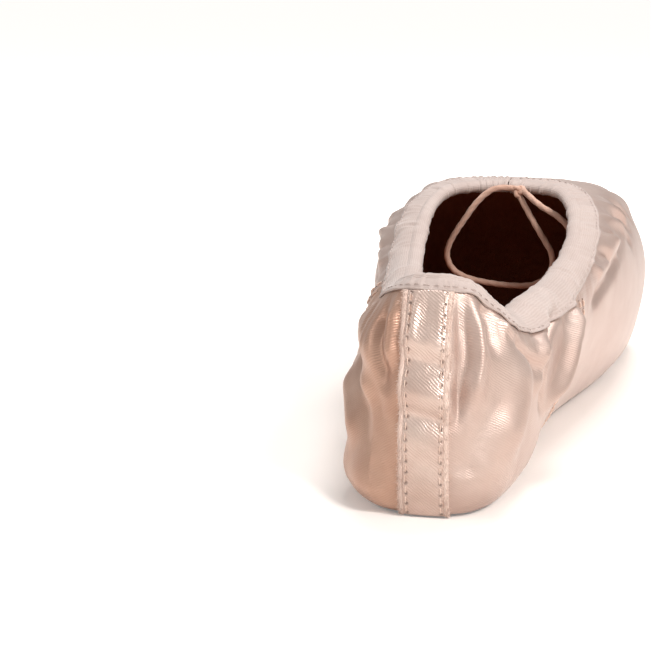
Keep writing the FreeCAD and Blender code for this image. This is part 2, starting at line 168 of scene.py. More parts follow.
# %% The cord's route
CORD_R, CORD_LAY, CORD_STEP = 0.95, 3.4, 0.45   # radius, length of one twist, and of one step along the cord
THROAT_Y, THROAT_RIM = 150.0, 62.5
KNOT = np.array([3.6, HEEL_Y + THROAT_Y - 6.2, THROAT_RIM - 1.6])
LOOP = [
    (-1.5, -0.2, 1.0), (-5.6, -1.8, 1.6), (-9.3, -2.8, -0.1), (-12.9, -3.3, -3.9), (-15.6, -3.3, -8.0),
    (-18.5, -2.8, -12.2), (-21.0, -1.8, -16.7), (-21.9, -0.8, -20.5), (-20.4, 0.2, -24.6), (-16.6, 0.7, -27.2),
    (-11.0, 1.0, -28.5), (-5.4, 1.1, -29.2), (0.2, 0.9, -29.4), (5.2, 0.6, -28.9), (9.0, 0.1, -26.6),
    (11.0, -0.8, -22.8), (10.9, -1.4, -18.5), (8.2, -1.5, -14.2), (5.6, -1.2, -10.1), (3.0, -0.6, -5.9),
    (0.4, 0.2, -1.6)]
LOOSE_END = [
    (1.6, -0.6, 0.4), (4.6, -2.9, -1.9), (8.3, -4.5, -4.3), (12.4, -5.2, -6.2), (16.0, -5.6, -9.4),
    (18.2, -5.6, -13.8), (18.9, -5.2, -18.6), (18.0, -4.6, -23.4)]


def cord_line(offsets):
    """The points of a smooth open NURBS line whose control points are the route's."""
    curve = bpy.data.curves.new("route", "CURVE")
    curve.dimensions = "3D"
    curve.resolution_u = 10
    spline = curve.splines.new("NURBS")
    spline.points.add(len(offsets) - 1)
    for point, offset in zip(spline.points, offsets):
        point.co = (*((KNOT + np.array(offset)) * MM), 1.0)
    spline.order_u = 3
    spline.use_endpoint_u = True
    route = bpy.data.objects.new("route", curve)
    mesh = bpy.data.meshes.new_from_object(route)
    line = np.array([vertex.co for vertex in mesh.vertices]) / MM
    bpy.data.objects.remove(route)
    bpy.data.curves.remove(curve)
    bpy.data.meshes.remove(mesh)
    return line


def cord_piece(name, offsets):
    """Three strands: radius x (0.94 + 0.06 cos(3 angle - 2 pi run / lay)), so the swellings turn as they go."""
    line = cord_line(offsets)
    steps = np.linalg.norm(np.diff(line, axis=0), axis=1)
    run = np.concatenate([[0.0], np.cumsum(steps)])
    even = np.linspace(0.0, run[-1], int(run[-1] / CORD_STEP))
    path = np.stack([np.interp(even, run, line[:, k]) for k in range(3)], 1)
    sides = 18
    turn = np.arange(sides) * 2 * np.pi / sides
    strands = np.cos(3 * turn[None, :] - 2 * np.pi * even[:, None] / CORD_LAY)
    points = tube_points(path, CORD_R * (0.94 + 0.06 * strands), sides)
    flat = np.stack(np.broadcast_arrays(turn[None, :] * CORD_R, even[:, None]), -1)
    piece = mesh_piece(name, points, tube_faces(len(path), sides), flat)
    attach(piece, "forefoot")
    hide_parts(name)
    print(name, "length in mm", round(float(run[-1]), 1))
    return piece


# %% [markdown]
# ## The knot
# The two ends are tied in one overhand knot at the throat. A trefoil is the simplest closed line that is
# truly knotted, so the cord's section is carried along a small, flattened one.

# %% Knot, loop and loose end
KNOT_R, KNOT_STEPS, KNOT_SIDES = 0.72, 120, 14
turn = np.linspace(0.0, 2 * np.pi, KNOT_STEPS)
trefoil = np.stack([
    np.sin(turn) + 2 * np.sin(2 * turn), -np.sin(3 * turn), np.cos(turn) - 2 * np.cos(2 * turn)], -1)
knot_path = KNOT + np.array([0.0, -0.2, 0.2]) + trefoil * np.array([0.56, 0.62, 0.50])
strands = np.cos(3 * np.arange(KNOT_SIDES) * 2 * np.pi / KNOT_SIDES - 9 * turn[:, None])
knot = mesh_piece(
    "drawstring_knot", tube_points(knot_path, KNOT_R * (0.94 + 0.06 * strands), KNOT_SIDES, (0.1, 1.0, 0.2)),
    tube_faces(KNOT_STEPS, KNOT_SIDES), np.zeros((KNOT_STEPS * KNOT_SIDES, 2)))
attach(knot, "forefoot")
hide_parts("drawstring_knot")
loop = cord_piece("drawstring_loop", LOOP)
loose_end = cord_piece("drawstring_end", LOOSE_END)

# %% [markdown]
# ## One surface for every layer
# The outside of the satin is a single smooth surface S(u, v). The number u runs round the slipper: 0 at the
# heel, 5 on the right, 10 at the toe, 15 on the left. The number v runs from the margin turned under the
# sole (0) to the rim of the opening (4). Twenty stations each hold seven poles, and cubic weights blend
# neighbouring poles, which is what a B-spline is. A few outline sizes at each station are all that a shoe
# last needs.

# %% Sizes of the slipper
HEEL_RIM, WAIST_RIM, BOX_HEIGHT, PLATFORM = 57.0, 44.5, 44.5, 36.0
SEAM_Y, BALL_Y, WAIST_Y = 87.0, 145.0, 48.0
SATIN, LINING, GLUE = 0.6, 0.8, 0.1
OUTSOLE_THICK, PLEATS, MARGIN = 1.8, 1.8, 9.0
EDGE_LOW, LOWER_WALL, LOWER_TUCK, LEAN = -4.2, 13.0, 0.6, 6.0
# Half width, y from the heel, how far the sole edge tucks in, height of the widest ring, and the rim's x, y, z.
STATIONS = np.array([
    (0.0, 0.0, 3.0, 43.0, 0.0, 9.5, HEEL_RIM),
    (14.0, 2.0, 3.5, 42.0, 8.0, 11.5, HEEL_RIM - 0.5),
    (22.5, 20.0, 4.5, 38.0, 13.5, 25.0, HEEL_RIM - 5.5),
    (28.0, WAIST_Y, 9.0, 34.0, 17.5, 50.0, WAIST_RIM),
    (30.5, SEAM_Y, 12.5, 35.0, 20.0, SEAM_Y, WAIST_RIM + 1.5),
    (37.0, 112.0, 17.0, 41.0, 21.5, 107.0, THROAT_RIM - 10.0),
    (42.5, BALL_Y, 16.0, 44.0, 20.5, THROAT_Y - 21.0, THROAT_RIM - 3.5),
    (43.5, 178.0, 13.0, BOX_HEIGHT, 16.0, THROAT_Y - 8.0, THROAT_RIM - 0.5),
    (42.0, LENGTH - 22.0, 8.0, BOX_HEIGHT - 1.5, 10.0, THROAT_Y - 3.0, THROAT_RIM),
    (29.0, LENGTH - 3.0, 3.5, PLATFORM, 5.0, THROAT_Y - 0.5, THROAT_RIM),
    (0.0, LENGTH, 2.5, PLATFORM, 0.0, THROAT_Y, THROAT_RIM),
])
AROUND, TOE, TOP = 20, 10, 4.0
SEAM_RIGHT, SEAM_LEFT = 4.0, 16.0


def smooth(t):
    """0 below 0, 1 above 1 and 3t^2 - 2t^3 between."""
    t = np.clip(t, 0.0, 1.0)
    return t * t * (3.0 - 2.0 * t)


# %% The poles of the surface
def pole_grid():
    """20 stations x 7 poles: margin, tuck, sole edge, lower wall, upper wall, shoulder and rim, leaning."""
    ring = np.concatenate([STATIONS, STATIONS[-2:0:-1]])
    side = np.where(np.arange(AROUND) <= TOE, 1.0, -1.0)
    half, y, tuck, wall, rim_x, rim_y, rim_z = ring.T
    plan = np.stack([side * half, HEEL_Y + y], 1)
    step = np.roll(plan, -1, 0) - np.roll(plan, 1, 0)
    into = np.stack([-step[:, 1], step[:, 0]], 1) / np.linalg.norm(step, axis=1, keepdims=True)

    def loop_at(inset, z):
        flat = plan + into * np.broadcast_to(inset, AROUND)[:, None]
        return np.column_stack([flat, np.broadcast_to(z, AROUND)])

    upper = loop_at(0.3, wall)
    rim = np.column_stack([side * rim_x, HEEL_Y + rim_y, rim_z])
    shoulder = 0.4 * upper + 0.6 * rim
    reach = np.hypot(rim[:, 0] - upper[:, 0], rim[:, 1] - upper[:, 1])
    shoulder[:, 2] = 0.1 * upper[:, 2] + 0.9 * rim[:, 2] + 0.06 * reach
    lie = OUTSOLE_THICK + PLEATS
    poles = np.stack([
        loop_at(tuck + MARGIN, lie), loop_at(tuck + 0.6 * MARGIN, lie), loop_at(tuck, EDGE_LOW),
        loop_at(LOWER_TUCK * tuck - 2.0, LOWER_WALL), upper, shoulder, rim], 1)
    from_heel = poles[..., 1] - HEEL_Y
    back = smooth(from_heel / WAIST_Y) * (1.0 - smooth((from_heel - SEAM_Y) / (BALL_Y - SEAM_Y)))
    poles[..., 0] += LEAN * back * (poles[..., 2] / HEEL_RIM - 0.45)
    return poles


POLES = pole_grid()
print("poles", POLES.shape)

# %% The surface and its normal
KNOTS = np.array([0, 0, 0, 0, 1, 2, 3, 4, 4, 4, 4], float)


def weights_round(u):
    """Even cubic B-spline weights of the 20 stations at each u."""
    whole = np.floor(u).astype(int)
    t = u - whole
    four = [(1 - t) ** 3, 3 * t ** 3 - 6 * t ** 2 + 4, -3 * t ** 3 + 3 * t ** 2 + 3 * t + 1, t ** 3]
    four = np.stack(four, -1) / 6
    weights = np.zeros(u.shape + (AROUND,))
    for k in range(4):
        np.put_along_axis(weights, ((whole + k - 1) % AROUND)[..., None], four[..., k:k + 1], -1)
    return weights


def weights_up(v):
    """Cubic weights of the 7 rows at each v by the Cox-de Boor rule, so the surface meets its end rows."""
    v = np.clip(v, 0.0, TOP - 1e-9)[..., None]
    weights = ((KNOTS[:-1] <= v) & (v < KNOTS[1:])).astype(float)
    for degree in range(1, 4):
        low, high = KNOTS[:-degree - 1], KNOTS[degree:-1]
        low2, high2 = KNOTS[1:-degree], KNOTS[degree + 1:]
        left = (v - low) / np.where(high > low, high - low, 1.0) * (high > low)
        right = (high2 - v) / np.where(high2 > low2, high2 - low2, 1.0) * (high2 > low2)
        weights = left * weights[..., :-1] + right * weights[..., 1:]
    return weights


def base(u, v):
    """S(u, v): each pole of the grid times its two weights, added up."""
    u, v = np.broadcast_arrays(np.asarray(u, float), np.asarray(v, float))
    rows = np.tensordot(weights_round(u), POLES, axes=(-1, 0))
    return (rows * weights_up(v)[..., None]).sum(-2)


def normal(u, v, e=1e-3):
    """The unit vector out of the cloth: the cross product of its two directions."""
    along = base(u + e, v) - base(u - e, v)
    up = base(u, np.minimum(v + e, TOP)) - base(u, np.maximum(v - e, 0.0))
    n = np.cross(along, up)
    return n / np.linalg.norm(n, axis=-1, keepdims=True)


heel, throat = base(0.0, TOP), base(10.0, TOP)
print("rim at the heel", np.round(heel, 1), "rim at the throat", np.round(throat, 1))

# %% [markdown]
# ## Reading distances back
# A maker measures in millimetres along the cloth, not in u and v. A table of distances against v, or of
# widths against u, read backwards gives the v or the u of any distance, for all places at once.

# %% Distances along the cloth
V_TABLE = np.linspace(2.2, TOP, 181)
U_TABLE = np.linspace(-1.6, 1.6, 161)
TOP_OF_WALL = 2.7                               # the ring on which distances round the slipper are measured


def read_back(table, values, targets):
    """For each row of a rising table, the value at each target, by straight lines between neighbours."""
    k = np.clip((table[:, None, :] < targets[:, :, None]).sum(-1), 1, len(values) - 1)
    low, high = np.take_along_axis(table, k - 1, 1), np.take_along_axis(table, k, 1)
    t = np.clip((targets - low) / (high - low), 0.0, 1.0)
    return values[k - 1] + t * (values[k] - values[k - 1])


def v_below(u, drop):
    """The v that lies a distance below the rim: one list of distances for all u, or a row for each."""
    away = np.linalg.norm(base(u[:, None], V_TABLE) - base(u, TOP)[:, None], axis=-1)
    return read_back(-away, V_TABLE, -np.broadcast_to(drop, (len(u),) + np.shape(drop)[-1:]))


def u_beside_heel(x, v):
    """The u near the heel at which the surface lies x to the right of the middle, for each v and each x."""
    return read_back(base(U_TABLE, v[:, None])[..., 0], U_TABLE, np.broadcast_to(x, (len(v), len(x))))


def run_along(points, axis):
    """How far each grid point is along an axis of its grid, as the sum of the steps before it."""
    steps = np.linalg.norm(np.diff(points, axis=axis), axis=-1)
    pad = [(0, 0), (0, 0)]
    pad[axis] = (1, 0)
    return np.pad(np.cumsum(steps, axis=axis), pad)


RING_U = np.linspace(-10.0, 10.0, 801)
RING_RUN = run_along(base(RING_U, TOP_OF_WALL)[:, None], 0)[:, 0]
RING_RUN -= np.interp(0.0, RING_U, RING_RUN)
RISE_V = np.linspace(0.0, TOP, 161)
RISE_RUN = run_along(base(2.5, RISE_V)[:, None], 0)[:, 0]


def flat_place(u, v):
    """Millimetres round from the heel and up from the margin, on the cloth laid flat."""
    return np.interp((u + 10.0) % AROUND - 10.0, RING_U, RING_RUN), np.interp(v, RISE_V, RISE_RUN)


print("round the slipper", round(float(np.ptp(RING_RUN))), "mm; sole to rim", round(float(RISE_RUN[-1])))

# %% [markdown]
# ## Folds
# Soft satin with nothing inside it sinks into ridges and creases that run from the rim towards the arch.
# Each one is a smooth line on the flat cloth with a height and a width; its far side falls off more gently
# than its near side, as real folds do. A cloth simulation could find such folds, but not these folds in
# these places, so they are laid in one by one, and soft noise adds the small crumples between them.

# %% Folds of the satin
# Height in mm (a crease is below 0), width in mm, lean of the section (-1 to 1) and the (u, v) of its line.
FOLDS = [
    (-1.7, 2.6, 0.4, [(0.75, 3.62), (0.8, 3.2), (0.78, 2.9), (0.62, 2.55), (0.55, 2.2)]),
    (1.5, 3.2, 0.3, [(1.0, 3.65), (1.02, 3.1), (0.92, 2.75), (0.9, 2.45)]),
    (-1.3, 2.8, -0.3, [(1.22, 3.7), (1.3, 3.3), (1.25, 2.95)]),
    (2.6, 6.5, 0.2, [(1.85, 3.25), (1.8, 2.6), (1.6, 2.25), (1.3, 1.9)]),
    (1.1, 1.8, -0.5, [(1.55, 3.45), (1.75, 3.28), (2.0, 3.2)]),
    (-1.6, 2.2, 0.5, [(1.75, 3.42), (1.95, 3.15), (2.25, 2.9), (2.5, 2.75)]),
    (-4.2, 2.1, 0.6, [(3.4, 3.6), (3.0, 3.38), (2.76, 3.08), (2.66, 2.78), (2.66, 2.45), (2.72, 2.1)]),
    (3.2, 3.0, -0.4, [(3.6, 3.5), (3.5, 3.2), (3.3, 2.9), (3.15, 2.6), (2.95, 2.35), (2.75, 2.1)]),
    (-1.6, 1.8, 0.3, [(3.9, 3.4), (3.8, 3.1), (3.65, 2.8), (3.5, 2.5)]),
    (1.3, 2.4, 0.4, [(2.5, 3.3), (2.42, 3.0), (2.36, 2.7), (2.3, 2.4)]),
    (1.3, 3.0, 0.2, [(3.1, 3.6), (2.7, 3.35), (2.45, 3.1), (2.35, 2.7)]),
    (-1.2, 2.4, 0.3, [(5.9, 3.25), (5.3, 3.12), (4.7, 3.02), (4.2, 2.95)]),
    (0.9, 3.0, 0.0, [(5.7, 3.45), (5.2, 3.3), (4.6, 3.2)]),
    (-0.9, 1.8, 0.2, [(5.6, 3.7), (6.2, 3.25), (6.5, 3.0)]),
    (0.4, 5.0, 0.2, [(1.95, 2.7), (1.5, 2.3), (1.15, 2.0), (0.9, 1.75)]),
    (-0.8, 3.4, 0.0, [(1.5, 2.75), (1.1, 2.3), (0.8, 1.95), (0.7, 1.75)]),
    (-0.9, 3.4, 0.4, [(-4.1, 2.95), (-3.0, 2.95), (-1.9, 2.9), (-1.2, 2.75), (-0.85, 2.35), (-0.6, 2.0)]),
    (0.8, 4.2, -0.3, [(-3.6, 3.2), (-2.4, 3.25), (-1.5, 3.1), (-1.1, 2.8)]),
    (-1.2, 2.6, 0.3, [(-2.4, 3.2), (-2.0, 2.8), (-1.4, 2.45), (-1.05, 1.95)]),
    (1.5, 3.4, 0.2, [(-2.6, 2.7), (-2.0, 2.35), (-1.4, 2.0)]),
    (-1.6, 2.2, -0.3, [(-1.05, 3.45), (-1.0, 3.2), (-0.85, 2.85), (-0.62, 2.55)]),
    (1.2, 2.4, 0.3, [(-0.75, 3.5), (-0.72, 3.1), (-0.6, 2.8)]),
    (-1.8, 3.0, 0.3, [(-3.4, 3.65), (-3.0, 3.3), (-2.9, 2.9), (-3.1, 2.5)]),
    (1.2, 4.0, 0.0, [(-4.3, 3.3), (-3.8, 2.9), (-3.5, 2.4), (-3.4, 2.0)]),
    (-1.1, 2.6, 0.2, [(-6.2, 3.3), (-5.4, 3.1), (-4.7, 3.0), (-4.2, 3.1)]),
    (0.9, 3.2, 0.0, [(-6.3, 3.5), (-5.5, 3.35), (-4.8, 3.25)]),
    (-0.8, 2.0, 0.2, [(-5.7, 3.7), (-6.3, 3.3), (-6.7, 3.0)]),
    (1.1, 9.0, 0.0, [(0.75, 1.8), (1.3, 1.72), (2.0, 1.7), (2.8, 1.75), (3.4, 1.8)]),
    (2.6, 8.0, 0.0, [(-0.6, 1.62), (-1.1, 1.55), (-1.9, 1.65), (-2.7, 1.75)]),
    (1.5, 13.0, 0.0, [(-2.4, 2.9), (-3.2, 2.9), (-4.4, 2.9), (-5.8, 3.0), (-6.6, 3.0)]),
    (1.3, 6.0, 0.0, [(-0.9, 3.3), (-1.15, 3.0), (-1.35, 2.7), (-1.4, 2.4)]),
    (-0.9, 2.4, 0.2, [(3.4, 2.3), (3.9, 2.1), (4.6, 2.0)]),
    (-0.8, 2.6, 0.2, [(-3.2, 2.2), (-3.9, 2.05), (-4.6, 2.0)]),
]
FOLD_DEPTH, GATHER_DEPTH = 1.45, 2.1            # one number makes all the folds, or gathers, deeper
# Cross folds of the heel strip: v of the middle, height and width in mm.
HEEL_WAVES = [(3.45, 0.3, 2.6), (3.1, 1.1, 2.6), (2.9, -1.2, 2.2), (2.62, 1.3, 2.6), (2.4, -1.1, 1.8),
              (2.15, 0.6, 3.0), (1.6, 0.4, 3.5)]
# Where the casing gathers the vamp: u of each small fold on the right, its height; the left side mirrors it.
VAMP_GATHERS = [(4.5, 0.8), (4.85, -0.9), (5.15, 1.0), (5.45, -1.1), (5.8, 1.2), (6.15, -1.2), (6.45, 0.9),
                (6.8, -0.9), (7.15, 0.8), (7.5, -0.7), (7.9, 0.5), (8.3, -0.5), (8.8, 0.4), (9.3, -0.35)]


# %% One crease, and soft noise
def outside_drop(u):
    """How far the casing hangs outside: 8.2 mm at the left, 6.8 mm at the right, 3.7 mm round the heel."""
    u = (u + 10.0) % AROUND - 10.0
    heel = smooth((u + 3.9) / 1.3) * (1.0 - smooth((u - 0.9) / 1.2))
    return 8.2 - 4.5 * heel - 1.5 * smooth((u - 3.2) / 1.5)


def soft_noise(x, y, size, seed):
    """Random heights at the corners of square cells, blended smoothly inside each cell; from -1 to 1."""
    lattice = np.random.default_rng(seed).uniform(-1.0, 1.0, (64, 64))
    i, j = np.floor(x / size).astype(int), np.floor(y / size).astype(int)
    s, t = smooth(x / size - i), smooth(y / size - j)
    at = lambda a, b: lattice[(i + a) % 64, (j + b) % 64]
    return (at(0, 0) * (1 - s) * (1 - t) + at(1, 0) * s * (1 - t) + at(0, 1) * (1 - s) * t + at(1, 1) * s * t)


def smooth_line(points, steps=28):
    """A Catmull-Rom curve through a few points, as many short straight steps."""
    points = np.asarray(points, float)
    ends = np.vstack([2 * points[0] - points[1], points, 2 * points[-1] - points[-2]])
    at = np.linspace(0, len(points) - 1 - 1e-9, steps)
    k = at.astype(int)
    t = (at - k)[:, None]
    a, b, c, d = ends[k], ends[k + 1], ends[k + 2], ends[k + 3]
    bend, twist = 2 * a - 5 * b + 4 * c - d, 3 * b - a - 3 * c + d
    return 0.5 * (2 * b + (c - a) * t + bend * t ** 2 + twist * t ** 3)


def crease(x, y, height, width, skew, line):
    """height x exp(-(d / w)^2), d from the line; w is wider on one side, and the height fades at both ends."""
    line_x, line_y = flat_place(*smooth_line(line).T)
    a = np.stack([line_x[:-1], line_y[:-1]], -1)
    step = np.stack([np.diff(line_x), np.diff(line_y)], -1)
    near = (x > line_x.min() - 3.2 * width) & (x < line_x.max() + 3.2 * width)
    near &= (y > line_y.min() - 3.2 * width) & (y < line_y.max() + 3.2 * width)
    here = np.stack([x[near], y[near]], -1)[:, None]
    t = np.clip(((here - a) * step).sum(-1) / (step ** 2).sum(-1), 0.0, 1.0)
    away = here - a - step * t[..., None]
    distance = np.linalg.norm(away, axis=-1)
    best = distance.argmin(-1)[:, None]
    pick = lambda table: np.take_along_axis(table, best, 1)[:, 0]
    side = np.sign(pick(away[..., 0] * step[:, 1] - away[..., 1] * step[:, 0]))
    along = (best[:, 0] + pick(t)) / len(step)
    fade = smooth(along / 0.25) * 0.7 + 0.3
    fade *= smooth((1.0 - along) / 0.35)
    spread = width * (1.0 + 0.45 * skew * side)
    out = np.zeros(x.shape)
    out[near] = height * fade * np.exp(-(pick(distance) / spread) ** 2)
    return out


# %% All the folds added up
def fold_height(u, v):
    """How far the satin stands off its plain shape: creases, puckers, crumples and pleats, added up in mm."""
    u, v = np.broadcast_arrays(np.asarray(u, float), np.asarray(v, float))
    x, y = flat_place(u, v)
    total = FOLD_DEPTH * sum(crease(x, y, *one) for one in FOLDS)
    for side in (1, -1):
        for k, (at, height) in enumerate(VAMP_GATHERS):
            drift = 0.18 + 0.1 * (k % 3)
            low = 3.16 - 0.07 * (k % 2)
            line = [(side * at, 3.72), (side * (at + drift), 3.42), (side * (at + 1.6 * drift), low)]
            total += crease(x, y, GATHER_DEPTH * height, 1.7 + 0.25 * (k % 3), 0.4, line)
    off_heel = smooth((np.abs(x) - 5.5) / 3.0)
    rise = lambda at: np.interp(at, RISE_V, RISE_RUN)
    waves = sum(h * np.exp(-((y + 0.16 * x - rise(at)) / w) ** 2) for at, h, w in HEEL_WAVES)
    total = total * off_heel + waves * (1.0 - smooth((np.abs(x) - 3.0) / 6.0))
    soft = 1.0 - smooth((np.abs(x) - 88.0) / 40.0)
    crumple = 0.26 * soft_noise(x, 0.25 * y, 8.0, 3) + 0.08 * soft_noise(x, 0.4 * y, 4.6, 4)
    total += soft * off_heel * crumple
    total += (1.0 - soft) * 0.10 * soft_noise(x, y, 17.0, 5)
    below = np.interp(TOP, RISE_V, RISE_RUN) - y
    gathers = soft_noise(x, 0.15 * y, 3.1, 6) + 0.5 * soft_noise(x, 0.2 * y, 1.7, 7)
    total += (0.28 + 0.3 * soft) * gathers * np.exp(-((below - 9.0) / 7.0) ** 2) * smooth((below - 1.5) / 4.0)
    turned = 1.0 - smooth((v - 0.75) / 0.55)
    pleats = 0.5 + 0.5 * np.sin(x / 1.05 + 1.6 * soft_noise(x, y * 0, 9.0, 8))
    total = total * smooth((v - 0.9) / 0.7) - 0.8 * turned * pleats * smooth((np.abs(x) - 30.0) / 60.0)
    under_tape = 0.3 + 0.7 * smooth((below - 0.6 * outside_drop(u)) / (0.8 * outside_drop(u)))
    return total * under_tape * smooth((TOP - v) / 0.22)


def rim_slump(u, v):
    """The rim sags into a notch to the right of the heel: a bell round u = 2.4 that grows towards the rim."""
    u = (u + 10.0) % AROUND - 10.0
    spread = np.where(u < 2.4, 0.85, 0.38)
    notch = np.exp(-((u - 2.4) / spread) ** 2) * smooth((v - 2.7) / 1.3)
    left = np.exp(-((u + 2.3) / 0.9) ** 2) * smooth((v - 2.6) / 1.4)
    wider = np.exp(-((np.abs(u) - 6.2) / 2.4) ** 4) * smooth((v - 2.9) / 1.1) * np.sign(u)
    return (notch[..., None] * np.array([-1.2, 0.3, -4.8]) + left[..., None] * np.array([-0.4, 0.0, -0.8])
            + wider[..., None] * np.array([2.5, 0.0, 0.0]))


def layer(u, v, depth, loose=True):
    """The base, moved out by the fold less the depth, above the floor. A lining only takes inward folds."""
    u, v = np.broadcast_arrays(np.asarray(u, float), np.asarray(v, float))
    height = fold_height(u, v)
    if not loose:
        height = 0.5 * (height - np.sqrt(height ** 2 + 0.3))
    points = base(u, v) + normal(u, v) * (height - depth)[..., None] + rim_slump(u, v)
    points[..., 2] = 0.5 * (points[..., 2] + np.sqrt(points[..., 2] ** 2 + 0.3))
    return points


heights = fold_height(*np.meshgrid(np.linspace(-10, 10, 200), np.linspace(1, 4, 80), indexing="ij"))
print("folds from", round(float(heights.min()), 1), "to", round(float(heights.max()), 1), "mm")

# %% [markdown]
# ## Satin panels and linings
# The upper is cut in three: a vamp over the toes and two quarters that meet behind the heel. Each panel is
# a closed shell of cloth with its real thickness, so its cut edges at the seams show. The weave must follow
# the cloth, so every point keeps its own place on the flat panel, measured from the panel's middle line.

# %% Panels
SEAM_GAP, BACK_GAP = 0.15, 0.05                 # half the gap at a side seam, and at the seam behind the heel
LINING_START = 1.3                              # v at which the lining starts, under the foot
LINED = SATIN + GLUE + LINING
BOX_WALL, WING_START, WING_RUN, BOX_TOP, BOX_FADE = 2.6, SEAM_RIGHT + 0.3, 2.7, 3.5, 0.9


def box_wall(u, v):
    """Thickness of the pasted box: none at the side seams, full at the toe, fading out below the rim."""
    around = smooth((TOE - np.abs(u - TOE) - WING_START) / WING_RUN)
    return BOX_WALL * around * smooth((BOX_TOP - v) / BOX_FADE)


def panel_grid(u_low, u_high, v_low, v_high, rows, columns, gap_low=SEAM_GAP, gap_high=SEAM_GAP):
    """u and v of a panel between two seams, each edge held a few tenths of a millimetre from its seam."""
    v = v_low + (v_high - v_low) * np.linspace(0.0, 1.0, columns)
    pace_low = np.linalg.norm(base(u_low + 0.01, v) - base(u_low, v), axis=-1) / 0.01
    pace_high = np.linalg.norm(base(u_high, v) - base(u_high - 0.01, v), axis=-1) / 0.01
    s = np.linspace(0.0, 1.0, rows)[:, None]
    low, high = u_low + gap_low / pace_low, u_high - gap_high / pace_high
    return low + (high - low) * s, np.broadcast_to(v, (rows, columns))


def cloth_mm(u, v, middle):
    """Each point's place on the flat panel: the way round from the middle row, and up from the margin."""
    points = base(u, v)
    across, up = run_along(points, 0), run_along(points, 1)
    return np.stack([across - across[middle], up], -1)


def ride_on(piece, body, slot, *nodes):
    """Says which body carries a piece and which CAD nodes it stands for; the slot argument is not used."""
    if body == "both":
        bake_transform(piece)
    else:
        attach(piece, body)
    if nodes:
        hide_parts(*nodes)
    return piece


def panel(name, slot, u, v, outer, inner, middle, loose=True):
    """One cut panel of cloth between two depths."""
    piece = shell_piece(name, layer(u, v, outer, loose), layer(u, v, inner, loose), cloth_mm(u, v, middle))
    return ride_on(piece, "both", slot, name)


# %% Satin and lining
satin_pieces, lining_pieces = [], []
# Name, side, u of both edges, rows and columns of the grid, the gaps at both edges, and the share of the rows
# at which the panel's middle lies: half for the vamp, and the heel's edge for a quarter.
PANELS = (
    ("vamp", "", SEAM_RIGHT, SEAM_LEFT, 460, 104, SEAM_GAP, SEAM_GAP, 1 / 2),
    ("quarter", "_right", 0.0, SEAM_RIGHT, 236, 150, BACK_GAP, SEAM_GAP, 0),
    ("quarter", "_left", SEAM_LEFT, 20.0, 236, 150, SEAM_GAP, BACK_GAP, 1),
)
for part, side, low, high, rows, columns, gap_low, gap_high, share in PANELS:
    middle = min(int(rows * share), rows - 1)
    grid = panel_grid(low, high, 0.0, TOP, rows, columns, gap_low, gap_high)
    satin_pieces.append(panel(part + "_satin" + side, "satin", *grid, 0.0, SATIN, middle))
    rows, columns = rows // 2, columns // 2
    middle = min(int(rows * share), rows - 1)
    grid = panel_grid(low, high, LINING_START, TOP, rows, columns, gap_low, gap_high)
    depth = SATIN + GLUE + box_wall(*grid) + (GLUE if part == "vamp" else 0.0)
    lining_pieces.append(panel(
        part + "_lining" + side, "lining", *grid, depth, depth + LINING, middle, loose=False))
print("panels", [piece.name for piece in satin_pieces + lining_pieces])

# %% [markdown]
# ## The toe box
# Layers of paste and burlap harden into a cup between the satin and the lining. It is hidden, but the knife
# edge of its wings and its full front give the toe its straight, firm walls, so it has its own shell here.

# %% Toe box
WING_TIP, BOX_LOW, BOX_HIGH, KNIFE_EDGE = 1.4, 1.35, 3.1, 0.05
u, v = panel_grid(SEAM_RIGHT + WING_TIP, SEAM_LEFT - WING_TIP, BOX_LOW, BOX_HIGH, 200, 44, 0.0, 0.0)
box_inner = SATIN + GLUE + np.maximum(box_wall(u, v), KNIFE_EDGE)
toe_box = panel("toe_box", "toe_paste", u, v, SATIN + GLUE, box_inner, 100, loose=False)
print("toe box up to", round(float(box_wall(u, v).max()), 1), "mm thick")

# %% [markdown]
# ## The heel strip
# A twill tape covers the seam behind the heel. Its long edges are folded back into soft, frayed ridges, and
# a row of stitches runs just inside each. The tape lies on the satin, so it takes the satin's cross folds.

# %% Heel strip
TAPE, STRIP_HALF, STRIP_FOLD = 0.5, 4.8, 1.5    # thickness, half the width between the folds, a fold's width
PITCH = 2.7                                     # from stitch to stitch
STRIP_START, STRIP_DROP = 1.0, 3.8              # v under the heel, and mm below the rim


def strip_grid(x, columns):
    """u and v of a band up the heel at distances from its middle, rows across and columns upward."""
    x = np.asarray(x, float)
    top = v_below(np.zeros(1), np.full(1, STRIP_DROP))[0, 0]
    v = np.linspace(STRIP_START, top, columns)
    return u_beside_heel(x, v).T, np.broadcast_to(v, (len(x), columns))


u, v = strip_grid(np.linspace(-STRIP_HALF, STRIP_HALF, 44), 300)
flat = cloth_mm(u, v, 22)
crown = 0.03 * soft_noise(flat[..., 0], flat[..., 1], 3.4, 11) - 0.15
heel_strip = shell_piece("heel_strip", layer(u, v, -GLUE - TAPE + crown), layer(u, v, -GLUE * 0.5), flat)
ride_on(heel_strip, "heel", "heel_tape", "heel_strip")
print("heel strip", round(float(flat[22, -1, 1]), 1), "mm long")


